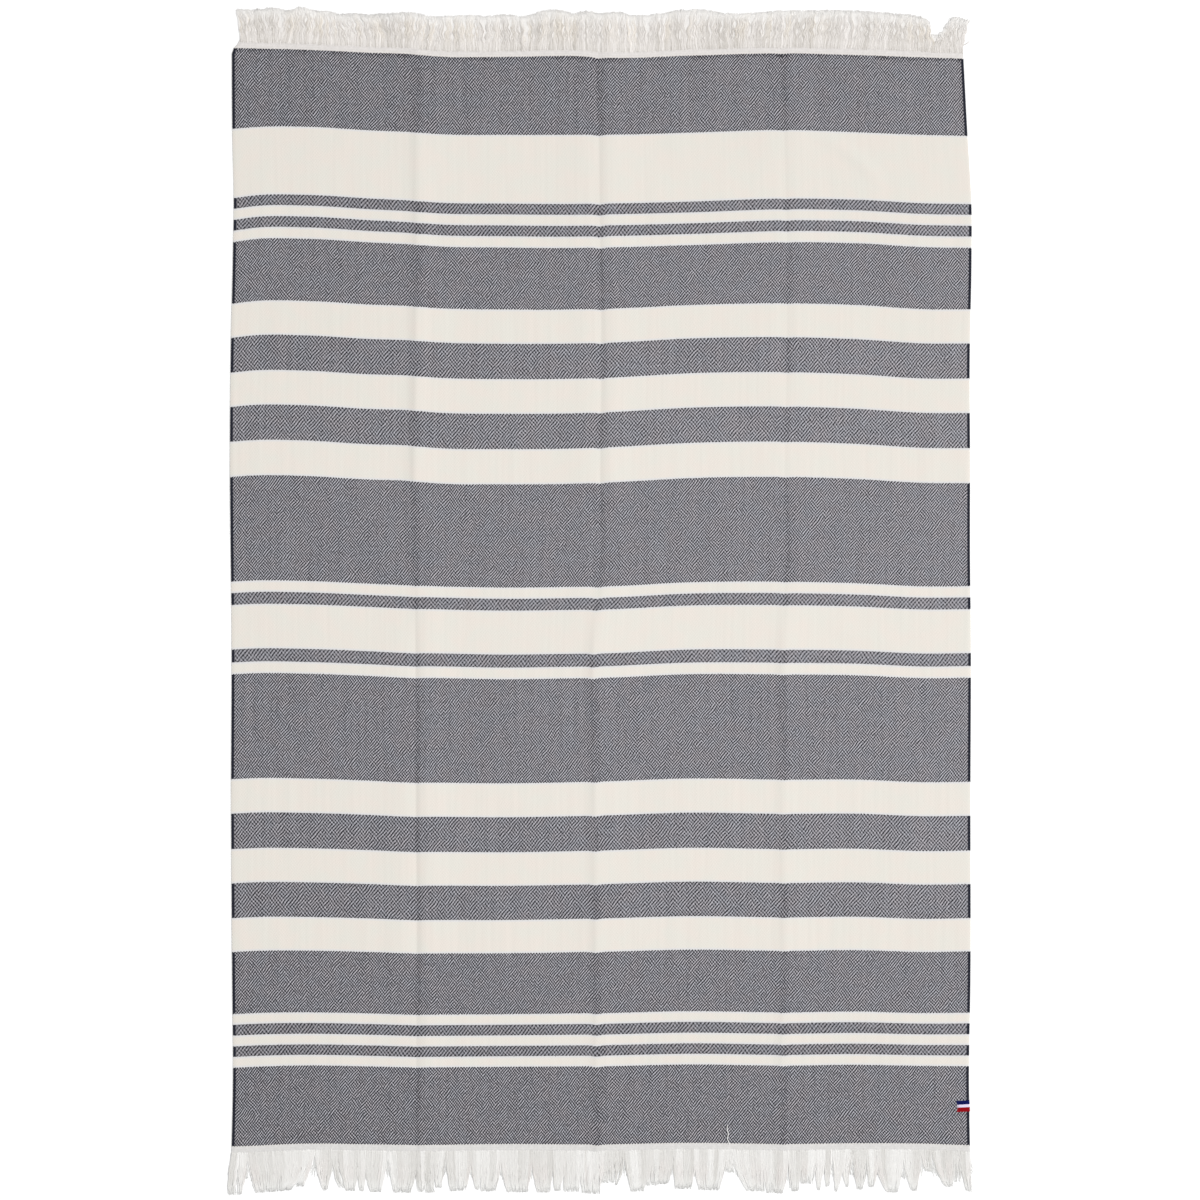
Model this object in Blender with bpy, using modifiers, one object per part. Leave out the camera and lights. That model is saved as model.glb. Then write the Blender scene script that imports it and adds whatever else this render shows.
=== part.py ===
"""Hammam towel laid out flat on a surface, as it is seen from straight above.

A striped cotton cloth, woven in one piece with a cream heading at each end, has been
folded in four lengthwise and opened again, so three low fold ridges run along it. The
warp ends hang out as a fringe at both ends, and a narrow folded tape is sewn over the
right selvedge near the bottom.

Frame: +X across the cloth, +Y along it towards the top fringe, +Z up from the surface.
The origin is the middle of the towel's underside, and the flat panels lie on z = 0.
The sizes below are millimetres. A place across the cloth counts its four panels: 0 is
the left selvedge, 1, 2 and 3 are the folds, and 4 is the right selvedge. A distance down
the cloth counts from its top end.
"""

import random
from collections import namedtuple

import bmesh
import bpy
import numpy as np
from mathutils import Matrix

MM = 0.001

CLOTH_LENGTH = 1500.0
CLOTH_THICKNESS = 1.5
PANEL_WIDTH = 250.0
PANELS = 4
GAP = 0.3
ROW_STEP = 50.0
COLUMNS_PER_PANEL = 4

FOLD_REACH = 22.0

TAPE_DOWN = 1438.0
TAPE_WIDTH = 15.0
TAPE_LEAF = 17.0
TAPE_OVERHANG = 2.0
TAPE_THICKNESS = 0.5
TAPE_BEND_STEPS = 8
TAPE_TURN_DEG = 1.0
TAPE_LIFT = TAPE_THICKNESS + GAP
LIFT_FLAT_ACROSS, LIFT_END_ACROSS = 20.0, 36.0
LIFT_FLAT_ALONG, LIFT_END_ALONG = 9.5, 20.0

FRINGE_SPINE = 3.0

# Where the selvedges and the three folds run, from the middle line, at distances down.
Section = namedtuple("Section", "down left fold_1 fold_2 fold_3 right")
SECTIONS = (
    Section(0, -498, -247, 3, 250, 492),
    Section(115, -498, -247, 3, 250, 498),
    Section(215, -496, -246, 4, 252, 504),
    Section(285, -498, -246, 5, 253, 504),
    Section(420, -500, -245, 6, 255, 502),
    Section(555, -502, -245, 7, 253, 502),
    Section(700, -499, -245, 7, 251, 502),
    Section(785, -499, -243, -8, 245, 502),
    Section(1030, -499, -242, -8, 244, 502),
    Section(1265, -498, -241, -6, 244, 502),
    Section(1400, -496, -241, -6, 244, 500),
    Section(1500, -499, -241, -5, 245, 502),
)

# How far a weft line sags towards the bottom fringe, at places across the cloth.
SAG_PLACES = (0, 0.12, 0.4, 1, 1.5, 2, 2.5, 3, 3.4, 3.75, 4)
Sag = namedtuple("Sag", "down at_places")
SAGS = (
    Sag(0, (-9.5, -8.5, -7.0, -1.0, 4.0, 4.5, 2.0, -1.5, 1.0, 3.5, 5.5)),
    Sag(210, (-2.5, -6.5, -7.5, 0.0, 4.5, 5.0, 1.0, -3.0, -1.5, 3.5, 4.5)),
    Sag(590, (-4.0, -6.0, -5.5, 1.5, 5.5, 4.0, -2.0, -4.5, -1.0, 3.5, 4.0)),
    Sag(995, (-1.5, -3.0, -2.5, 3.0, 3.5, 2.0, -3.0, -1.0, -1.0, 2.0, 1.5)),
    Sag(1310, (2.0, 0.5, -0.5, 2.5, 1.5, 1.0, -2.5, -0.5, -2.0, 0.0, 0.0)),
    Sag(1500, (3.0, 2.5, 0.0, 1.5, 0.0, 1.5, -1.5, 0.5, -1.0, -0.5, 1.5)),
)

# How high each fold ridge stands at the top, in the middle and at the bottom.
Fold = namedtuple("Fold", "number top middle bottom")
FOLDS = (
    Fold(1, 1.6, 1.4, 2.0),
    Fold(2, 2.2, 1.5, 1.8),
    Fold(3, 0.9, 0.7, 1.1),
)

# A fringed end: where it starts, its tufts, and how far the tips lean at each selvedge.
FringedEnd = namedtuple(
    "FringedEnd", "name down away tufts length unevenness tip_share lean_left lean_right seed"
)
TOP_FRINGE = FringedEnd(
    name="fringe_top",
    down=0.0,
    away=1,
    tufts=88,
    length=46.5,
    unevenness=3.0,
    tip_share=0.55,
    lean_left=6.0,
    lean_right=14.0,
    seed=3,
)
BOTTOM_FRINGE = FringedEnd(
    name="fringe_bottom",
    down=CLOTH_LENGTH,
    away=-1,
    tufts=46,
    length=51.5,
    unevenness=3.5,
    tip_share=0.28,
    lean_left=-13.0,
    lean_right=9.0,
    seed=8,
)
TUFT_SHIFT_SHARE = 0.16
SPLAY_POWER = 4


def smooth_curve(stations, values, at):
    """Read a smooth curve (cubic Hermite, slopes from neighbours) through the values."""
    stations = np.asarray(stations, float)
    values = np.asarray(values, float)
    slopes = np.gradient(values, stations)
    i = int(np.clip(np.searchsorted(stations, at, side="right") - 1, 0, len(stations) - 2))
    step = stations[i + 1] - stations[i]
    t = (at - stations[i]) / step
    ease = t * t * (3 - 2 * t)
    start_bend = t * (1 - t) ** 2 * step * slopes[i]
    end_bend = t * t * (t - 1) * step * slopes[i + 1]
    return (1 - ease) * values[i] + ease * values[i + 1] + start_bend + end_bend


def section_lines(down):
    """Where both selvedges and the folds between them lie at a distance down."""
    downs = [section.down for section in SECTIONS]
    columns = zip(*(section[1:] for section in SECTIONS))
    return [smooth_curve(downs, column, down) for column in columns]


def sag(place, down):
    """How far the weft line at a distance down hangs below its mean line."""
    downs = [row.down for row in SAGS]
    at_place = [smooth_curve(SAG_PLACES, row.at_places, place) for row in SAGS]
    return smooth_curve(downs, at_place, down)


def fold_rise(x, down, lines):
    """Height of the fold ridges: a sharp crest that runs out softly on both sides."""
    rise = 0.0
    for fold in FOLDS:
        heights = (fold.top, fold.middle, fold.bottom)
        crest = smooth_curve((0, CLOTH_LENGTH / 2, CLOTH_LENGTH), heights, down)
        reach_share = max(0.0, 1 - abs(x - lines[fold.number]) / FOLD_REACH)
        rise += crest * reach_share**2
    return rise


def plateau(distance, flat, end):
    """1 up to the flat distance, 0 past the end distance, and a straight slope between."""
    return float(np.clip((end - abs(distance)) / (end - flat), 0, 1))


def tape_rise(x, down, lines):
    """How far the cloth is lifted where the tape's lower leaf lies under it."""
    across = plateau(lines[PANELS] - x, LIFT_FLAT_ACROSS, LIFT_END_ACROSS)
    along = plateau(down - TAPE_DOWN, LIFT_FLAT_ALONG, LIFT_END_ALONG)
    return TAPE_LIFT * across * along


def underside(place, down):
    """The point of the cloth's underside at a place across and a distance down."""
    lines = section_lines(down)
    x = float(np.interp(place, range(PANELS + 1), lines))
    y = CLOTH_LENGTH / 2 - down - sag(place, down)
    return x, y, fold_rise(x, down, lines) + tape_rise(x, down, lines)


def column_places():
    """Places of the cloth's columns: evenly in each panel, and closer at folds and tape."""
    places = set(np.linspace(0, PANELS, PANELS * COLUMNS_PER_PANEL + 1))
    reach = FOLD_REACH / PANEL_WIDTH
    for fold in FOLDS:
        places.update(fold.number + share * reach for share in (-1, -0.5, 0.5, 1))
    places.update(PANELS - side / PANEL_WIDTH for side in (LIFT_FLAT_ACROSS, LIFT_END_ACROSS))
    return sorted(float(place) for place in places)


def row_distances():
    """Distances down of the cloth's rows: evenly along it, and closer at the tape."""
    rows = set(np.arange(0, CLOTH_LENGTH + ROW_STEP / 2, ROW_STEP))
    for side in (LIFT_FLAT_ALONG, LIFT_END_ALONG):
        rows.update((TAPE_DOWN - side, TAPE_DOWN + side))
    return sorted(float(row) for row in rows)


def make_material(name, colour, roughness):
    """A plain cloth material."""
    material = bpy.data.materials.new(name)
    material.use_nodes = True
    shader = material.node_tree.nodes["Principled BSDF"]
    shader.inputs["Base Color"].default_value = (*colour, 1.0)
    shader.inputs["Roughness"].default_value = roughness
    shader.inputs["Metallic"].default_value = 0.0
    return material


def add_object(name, data, material, collection):
    """Put a mesh or a curve into the towel's collection."""
    data.materials.append(material)
    piece = bpy.data.objects.new(name, data)
    collection.objects.link(piece)
    return piece


def thicken(piece, thickness, offset):
    """Turn an open surface into a shell."""
    shell = piece.modifiers.new("thickness", "SOLIDIFY")
    shell.thickness = thickness
    shell.offset = offset
    shell.use_even_offset = True


def make_cloth(material, collection):
    """The cloth: a grid on its underside's points, thickened upwards."""
    places = column_places()
    rows = row_distances()
    surface = bmesh.new()
    bmesh.ops.create_grid(
        surface, x_segments=len(places) - 1, y_segments=len(rows) - 1, size=0.5
    )
    for vertex in surface.verts:
        column = round((vertex.co.x + 0.5) * (len(places) - 1))
        row = round((0.5 - vertex.co.y) * (len(rows) - 1))
        vertex.co = [value * MM for value in underside(places[column], rows[row])]
    mesh = bpy.data.meshes.new("cloth")
    surface.to_mesh(mesh)
    surface.free()
    cloth = add_object("cloth", mesh, material, collection)
    thicken(cloth, CLOTH_THICKNESS * MM, offset=1)
    return cloth


def tip_lean(end, place):
    """How far the tips lean sideways: it fades quickly away from the selvedges."""
    side = 2 * place / PANELS - 1
    lean = end.lean_left if side < 0 else end.lean_right
    return lean * abs(side) ** SPLAY_POWER


def fringe_point(end, place, beyond):
    """A point of a fringe, a distance beyond the cloth's end and along the strands' lean."""
    x, y, _ = underside(place, end.down)
    return x + tip_lean(end, place) * beyond / end.length, y + end.away * beyond


def fringe_outline(end):
    """The comb's outline: along the cloth's end, and back along its uneven tufts."""
    draw = random.Random(end.seed)
    pitch = PANELS / end.tufts
    outline = [fringe_point(end, place, GAP) for place in column_places()]
    for tuft in reversed(range(end.tufts)):
        shift = TUFT_SHIFT_SHARE * draw.uniform(-1, 1)
        middle = (tuft + 0.5 + shift) * pitch
        length = end.length + draw.uniform(-1, 1) * end.unevenness
        half_tip = end.tip_share * pitch / 2
        notch = FRINGE_SPINE * draw.uniform(1, 2)
        outline.append(fringe_point(end, (tuft + 1) * pitch, notch))
        outline.append(fringe_point(end, middle + half_tip, length))
        outline.append(fringe_point(end, middle - half_tip, length))
    outline.append(fringe_point(end, 0, FRINGE_SPINE))
    return outline


def flat_outline_mesh(name, outline, thickness):
    """A flat outline as a filled curve of the given thickness, made a welded mesh."""
    curve = bpy.data.curves.new(name + "_outline", "CURVE")
    curve.dimensions = "2D"
    curve.fill_mode = "BOTH"
    curve.extrude = thickness * MM / 2
    spline = curve.splines.new("POLY")
    spline.points.add(len(outline) - 1)
    for point, (x, y) in zip(spline.points, outline):
        point.co = (x * MM, y * MM, 0, 1)
    spline.use_cyclic_u = True
    guide = bpy.data.objects.new(name + "_outline", curve)
    bpy.context.scene.collection.objects.link(guide)
    evaluated = guide.evaluated_get(bpy.context.evaluated_depsgraph_get())
    mesh = bpy.data.meshes.new_from_object(evaluated)
    mesh.name = name
    bpy.data.objects.remove(guide)
    bpy.data.curves.remove(curve)
    welded = bmesh.new()
    welded.from_mesh(mesh)
    bmesh.ops.remove_doubles(welded, verts=welded.verts, dist=0.01 * MM)
    bmesh.ops.translate(welded, verts=welded.verts, vec=(0, 0, thickness * MM / 2))
    welded.to_mesh(mesh)
    welded.free()
    return mesh


def make_fringe(end, material, collection):
    """The warp ends beyond one end of the cloth, as a comb that rides over the folds."""
    mesh = flat_outline_mesh(end.name, fringe_outline(end), CLOTH_THICKNESS)
    lines = section_lines(end.down)
    for vertex in mesh.vertices:
        x, y = vertex.co.x / MM, vertex.co.y / MM
        beyond = abs(y) - CLOTH_LENGTH / 2
        fade = float(np.clip(1 - beyond / end.length, 0, 1))
        vertex.co.z += fold_rise(x, end.down, lines) * fade * MM
    mesh.update()
    return add_object(end.name, mesh, material, collection)


def tape_profile():
    """The tape's middle line, seen along the selvedge: lower leaf, bend, upper leaf."""
    low = TAPE_THICKNESS / 2
    high = TAPE_THICKNESS + 2 * GAP + CLOTH_THICKNESS + TAPE_THICKNESS / 2
    radius = (high - low) / 2
    bend_x = TAPE_OVERHANG - low - radius
    turns = np.linspace(-np.pi / 2, np.pi / 2, TAPE_BEND_STEPS + 1)
    bend = [(bend_x + radius * np.cos(a), low + radius + radius * np.sin(a)) for a in turns]
    return [(-TAPE_LEAF, low), *bend, (-TAPE_LEAF, high)]


def make_tape(material, collection):
    """The folded tape: a ribbon that goes round the selvedge, with a leaf on each side."""
    profile = tape_profile()
    ribbon = bpy.data.curves.new("flag_tape", "CURVE")
    ribbon.dimensions = "2D"
    ribbon.fill_mode = "NONE"
    ribbon.extrude = TAPE_WIDTH * MM / 2
    spline = ribbon.splines.new("POLY")
    spline.points.add(len(profile) - 1)
    for point, (x, z) in zip(spline.points, profile):
        point.co = (x * MM, z * MM, 0, 1)
    tape = add_object("flag_tape", ribbon, material, collection)
    x, y, _ = underside(PANELS, TAPE_DOWN)
    turn = Matrix.Rotation(np.radians(TAPE_TURN_DEG), 4, "Z")
    stand_up = Matrix.Rotation(np.radians(90), 4, "X")
    tape.matrix_world = Matrix.Translation((x * MM, y * MM, 0)) @ turn @ stand_up
    thicken(tape, TAPE_THICKNESS * MM, offset=0)
    return tape


def clear_scene():
    """Remove whatever the file opened with."""
    for leftover in list(bpy.data.objects):
        bpy.data.objects.remove(leftover)


def main():
    """Build the towel's pieces."""
    clear_scene()
    collection = bpy.data.collections.new("hammam_towel")
    bpy.context.scene.collection.children.link(collection)
    cotton = make_material("striped_cotton", (0.62, 0.60, 0.58), 0.95)
    yarn = make_material("loose_cotton_yarn", (0.84, 0.80, 0.74), 0.95)
    tape_weave = make_material("woven_tape", (0.10, 0.08, 0.36), 0.75)
    make_cloth(cotton, collection)
    for end in (TOP_FRINGE, BOTTOM_FRINGE):
        make_fringe(end, yarn, collection)
    make_tape(tape_weave, collection)


main()
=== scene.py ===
"""Hammam towel laid out flat, as it is seen from straight above.

The cloth, its two fringes, the ribbon on its selvedge and a stray yarn end are surfaces
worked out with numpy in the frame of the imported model. Lengths are millimetres until they
are put into a mesh. A place across the cloth counts its four panels: 0 is the left
selvedge, 1, 2 and 3 are the folds, and 4 is the right selvedge. A distance down the cloth
counts from its top end.
"""

import logging
from dataclasses import dataclass
from enum import Enum
from typing import Any, NamedTuple

import bpy
import numpy as np
from numpy.typing import NDArray
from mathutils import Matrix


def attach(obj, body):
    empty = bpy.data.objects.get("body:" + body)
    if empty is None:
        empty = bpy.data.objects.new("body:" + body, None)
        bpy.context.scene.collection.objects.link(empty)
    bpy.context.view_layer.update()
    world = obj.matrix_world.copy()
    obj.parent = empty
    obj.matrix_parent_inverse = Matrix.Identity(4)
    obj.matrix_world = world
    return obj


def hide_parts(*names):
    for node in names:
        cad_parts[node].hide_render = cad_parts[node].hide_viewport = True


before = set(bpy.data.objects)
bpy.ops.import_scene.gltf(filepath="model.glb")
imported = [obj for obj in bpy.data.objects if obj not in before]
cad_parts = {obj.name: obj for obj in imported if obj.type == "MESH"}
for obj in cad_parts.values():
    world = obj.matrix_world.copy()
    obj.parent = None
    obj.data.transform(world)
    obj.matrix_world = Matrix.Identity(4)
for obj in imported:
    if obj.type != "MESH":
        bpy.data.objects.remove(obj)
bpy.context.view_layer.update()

Array = NDArray[Any]
Piece = bpy.types.Object
Material = bpy.types.Material
Node = bpy.types.Node
Socket = bpy.types.NodeSocket
Inputs = dict[int | str, Any] | tuple[Any, ...]
MM = 0.001
TURN = 2 * np.pi
BAKE_MAP = "OFBake"

log = logging.getLogger("hammam_towel")


# ---------------------------------------------------------------- curves and grids


def smooth_weights(stations: Array, at: Array) -> Array:
    """Weights that read a smooth curve through values at stations.

    Between two stations the curve is the cubic that leaves and meets them with the mean
    slope of their neighbours, so it is a weighted sum of the values.

    Args:
        stations: Rising positions of the values.
        at: Positions to read the curve at, as one row.

    Returns:
        One row of weights for each position.
    """
    stations = np.asarray(stations, float)
    unit = np.eye(len(stations))
    slopes = np.gradient(unit, stations, axis=0)
    first = np.clip(np.searchsorted(stations, at, side="right") - 1, 0, len(stations) - 2)
    step = np.diff(stations)[first]
    t = ((at - stations[first]) / step)[:, None]
    ease = t * t * (3 - 2 * t)
    start_bend = t * (1 - t) ** 2 * step[:, None]
    end_bend = t * t * (t - 1) * step[:, None]
    values = (1 - ease) * unit[first] + ease * unit[first + 1]
    return values + start_bend * slopes[first] + end_bend * slopes[first + 1]


def smooth_curve(stations: Array, values: Array, at: Array) -> Array:
    """Reads a smooth curve through the values.

    Args:
        stations: Rising positions of the values.
        values: One value for each station.
        at: Positions to read the curve at, in any shape.

    Returns:
        The curve's values, in the shape of at.
    """
    at = np.asarray(at, float)
    return (smooth_weights(stations, at.ravel()) @ np.asarray(values, float)).reshape(at.shape)


def smooth_step(start: float, end: float, at: Array) -> Array:
    """0 before start, 1 after end, and an S-shaped rise between (3t² − 2t³).

    Args:
        start: Where the rise begins.
        end: Where it ends.
        at: Positions to read it at.

    Returns:
        The rise at each position.
    """
    t = np.clip((at - start) / (end - start), 0, 1)
    return t * t * (3 - 2 * t)


def grid_quads(rows: int, columns: int) -> Array:
    """Quads of a grid whose points are numbered row by row, facing up if rows run down.

    Args:
        rows: Number of rows of points.
        columns: Number of points in a row.

    Returns:
        Four point numbers for each quad.
    """
    corner = np.arange(rows * columns).reshape(rows, columns)
    corners = (corner[:-1, :-1], corner[1:, :-1], corner[1:, 1:], corner[:-1, 1:])
    return np.stack(corners, axis=-1).reshape(-1, 4)


def put_object(name: str, data: bpy.types.ID) -> Piece:
    """Makes an object of a mesh, a light or a camera.

    Args:
        name: The object's name.
        data: What it shows.

    Returns:
        The new object, at the origin and in the scene.
    """
    new = bpy.data.objects.new(name, data)
    bpy.context.scene.collection.objects.link(new)
    return new


def put_mesh(
    name: str, points: Array, faces: list[Array], maps: dict[str, Array],
    values: dict[str, Array] | None = None,
) -> Piece:
    """Makes an object of points and faces, with its place in its mesh.

    Args:
        name: The piece's name.
        points: Points in millimetres, one row each.
        faces: Arrays of faces, each with one number of corners.
        maps: For each UV map, one pair of numbers for each face corner, in face order.
        values: For each attribute, one number for each point.

    Returns:
        The new object, which is shaded smooth.
    """
    corners = np.concatenate([block.ravel() for block in faces])
    sizes = np.concatenate([np.full(len(block), block.shape[1]) for block in faces])
    mesh = bpy.data.meshes.new(name)
    mesh.vertices.add(len(points))
    mesh.vertices.foreach_set("co", (points * MM).astype(np.float32).ravel())
    mesh.loops.add(len(corners))
    mesh.loops.foreach_set("vertex_index", corners.astype(np.int32))
    mesh.polygons.add(len(sizes))
    mesh.polygons.foreach_set("loop_start", (np.cumsum(sizes) - sizes).astype(np.int32))
    mesh.update(calc_edges=True)
    for map_name, pairs in maps.items():
        layer = mesh.uv_layers.new(name=map_name, do_init=False)
        layer.uv.foreach_set("vector", pairs.astype(np.float32).ravel())
    for value_name, numbers in (values or {}).items():
        attribute = mesh.attributes.new(value_name, "FLOAT", "POINT")
        attribute.data.foreach_set("value", numbers.astype(np.float32).ravel())
    mesh.validate()
    mesh.shade_smooth()
    return put_object(name, mesh)


def put_sheet(
    name: str, high: Array, low: Array, count: tuple[int, int], plan: tuple[str, Array],
    bake: Array, values: dict[str, Array],
) -> Piece:
    """Makes a closed sheet: an upper face, an underside, and rims that join them.

    A rim's lower corners lie further out on the bake map, so that it has a width there.

    Args:
        name: The piece's name.
        high: Points of the upper face in millimetres, row by row.
        low: Points of the underside, in the same order.
        count: Number of rows and of points in a row.
        plan: The plan map's name, and its pair of numbers for each point.
        bake: A place on the bake map for each point, from 0 to 1 both ways.
        values: For each attribute, one number for each point.

    Returns:
        The new object, with sharp edges where it turns by more than 45 degrees.
    """
    number = np.arange(len(high)).reshape(count)
    upper = grid_quads(*count)
    lower = upper[:, ::-1] + len(high)
    loop = np.concatenate((number[0, :-1], number[:-1, -1], number[-1, :0:-1], number[:0:-1, 0]))
    after = np.roll(loop, -1)
    rim = np.stack((loop, after, after + len(high), loop + len(high)), -1)
    faces = [upper, lower, rim]
    corners = np.concatenate([block.ravel() for block in faces]) % len(high)
    bake = (0.005 + 0.99 * bake)[corners]
    rim_bake = bake[-rim.size:].reshape(-1, 4, 2)
    rim_bake[:, 2:] = 0.5 + 1.008 * (rim_bake[:, 2:] - 0.5)
    maps = {plan[0]: plan[1][corners], BAKE_MAP: bake}
    both = {key: np.tile(numbers, 2) for key, numbers in values.items()}
    sheet = put_mesh(name, np.concatenate((high, low)), faces, maps, both)
    sheet.data.set_sharp_from_angle(angle=np.radians(45))
    return sheet


def put_tubes(
    name: str, lines: Array, radii: Array, sides: int, bake_columns: int, values: dict[str, Array],
) -> Piece:
    """Makes many closed tubes along their middle lines, as one object.

    At each point of a line a ring stands square to it: its points lie a radius away, at
    even turns from the level side direction (tangent crossed with up) towards the
    direction square to both. A face closes each end. Each tube has a cell of its own on
    the bake map, with its wall in the middle and its ends in the margins. On the yarn map
    u goes round it and v is the metres along it.

    Args:
        name: The piece's name.
        lines: Middle lines, as tubes by rings by 3.
        radii: Radius at each ring, as tubes by rings.
        sides: Points in a ring.
        bake_columns: Cells in a row of the bake map.
        values: For each attribute, one number for each ring, as tubes by rings.

    Returns:
        The new object.
    """
    tubes, rings, _ = lines.shape
    tangent = np.gradient(lines, axis=1)
    tangent /= np.linalg.norm(tangent, axis=2, keepdims=True)
    side = np.cross(tangent, (0.0, 0.0, 1.0))
    side /= np.linalg.norm(side, axis=2, keepdims=True)
    over = np.cross(side, tangent)
    turn = np.arange(sides) * TURN / sides
    ring = np.cos(turn)[:, None] * side[:, :, None, :] + np.sin(turn)[:, None] * over[:, :, None, :]
    points = lines[:, :, None, :] + radii[:, :, None, None] * ring

    number = np.arange(tubes * rings * sides).reshape(tubes, rings, sides)
    after = np.roll(number, -1, axis=2)
    corners = (number[:, :-1], number[:, 1:], after[:, 1:], after[:, :-1])
    walls = np.stack(corners, axis=-1).reshape(-1, 4)
    ends = np.concatenate((number[:, 0], number[:, -1, ::-1]))

    steps = np.linalg.norm(np.diff(lines, axis=1), axis=2)
    along = np.concatenate((np.zeros((tubes, 1)), np.cumsum(steps, axis=1)), axis=1) * MM
    share = np.linspace(0, 1, rings)
    cell = np.stack(np.divmod(np.arange(tubes), bake_columns)[::-1], axis=-1)
    cells = np.array((bake_columns, -(-tubes // bake_columns)))

    around = np.stack((np.arange(sides), np.arange(sides) + 1), -1) / sides
    u = np.broadcast_to(around, (tubes, rings - 1, sides, 2))[..., [0, 0, 1, 1]]
    v_pick = np.stack((np.arange(rings - 1), np.arange(1, rings)), -1)[:, [0, 1, 1, 0]]
    v_along = np.broadcast_to(along[:, v_pick][:, :, None, :], u.shape)
    v_share = np.broadcast_to(share[v_pick][None, :, None, :], u.shape)
    yarn = np.stack((u, v_along), -1).reshape(-1, 2)
    inside = 0.08 + 0.84 * np.stack((u, v_share), -1)
    bake = ((cell[:, None, None, None, :] + inside) / cells).reshape(-1, 2)

    end_turn = np.tile(np.arange(sides) / sides, (2 * tubes, 1))
    end_along = np.concatenate((along[:, 0], along[:, -1]))[:, None]
    end_yarn = np.stack(np.broadcast_arrays(end_turn, end_along), -1).reshape(-1, 2)
    end_spot = 0.03 * np.stack((np.cos(turn), np.sin(turn)), -1)
    end_middle = np.array([(0.5, 0.04), (0.5, 0.96)])[:, None, None, :] + end_spot
    end_bake = ((np.stack((cell, cell))[:, :, None, :] + end_middle) / cells).reshape(-1, 2)

    yarn, bake = np.concatenate((yarn, end_yarn)), np.concatenate((bake, end_bake))
    maps = {"YarnPlan": yarn, BAKE_MAP: bake}
    spread = {key: np.repeat(numbers.ravel(), sides) for key, numbers in values.items()}
    return put_mesh(name, points.reshape(-1, 3), [walls, ends], maps, spread)


# ---------------------------------------------------------------- finishes


def linear(code: str) -> tuple[float, float, float, float]:
    """Turns an sRGB hex value into a linear colour.

    Args:
        code: A value such as #FFFFFF.

    Returns:
        Red, green, blue and an alpha of 1.
    """
    parts = np.array([int(code[i : i + 2], 16) for i in (1, 3, 5)]) / 255
    curve = np.where(parts <= 0.04045, parts / 12.92, ((parts + 0.055) / 1.055) ** 2.4)
    return (*map(float, curve), 1.0)


# The setting that may follow a kind of node's name.
NODE_SETTINGS = {
    "Attribute": "attribute_name",
    "MapRange": "interpolation_type",
    "Math": "operation",
    "Mix": "data_type",
    "UVMap": "uv_map",
    "VectorMath": "operation",
}


class Nodes:
    """The nodes of one material, which end in a Principled shader."""

    def __init__(self, name: str) -> None:
        """Makes the material, with only its shader.

        Args:
            name: The material's name.
        """
        self.material = bpy.data.materials.new(name)
        self.material.use_nodes = True
        self.tree = self.material.node_tree
        self.shader = self.tree.nodes["Principled BSDF"]

    def feed(self, node: Node, inputs: Inputs) -> None:
        """Sets a node's sockets, by link or by value.

        Args:
            node: The node.
            inputs: For each socket, another node's output or a value. They are in order,
                or under the sockets' names or numbers.
        """
        pairs = inputs.items() if isinstance(inputs, dict) else enumerate(inputs)
        for key, value in pairs:
            if isinstance(value, Socket):
                self.tree.links.new(value, node.inputs[key])
            else:
                node.inputs[key].default_value = value

    def add(self, kind: str, inputs: Inputs = (), output: str = "") -> Socket:
        """Adds a node with its setting and links.

        Args:
            kind: The node's type name after ShaderNode, and its main setting if it needs
                another value than Blender's.
            inputs: What feeds its sockets.
            output: Name of the output to give, or none for the first in use.

        Returns:
            That output.
        """
        kind, _, setting = kind.partition(" ")
        node = self.tree.nodes.new("ShaderNode" + kind)
        if setting:
            setattr(node, NODE_SETTINGS[kind], setting)
        self.feed(node, inputs)
        return node.outputs[output] if output else next(o for o in node.outputs if o.enabled)

    def wave(self, place: Socket, turns: tuple[float, float, float]) -> Socket:
        """Adds a cosine wave over a place.

        Args:
            place: The place.
            turns: Radians for a unit of it, each way.

        Returns:
            The wave, from -1 to 1.
        """
        phase = self.add("VectorMath DOT_PRODUCT", (place, turns))
        return self.add("Math COSINE", (phase,))


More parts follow.
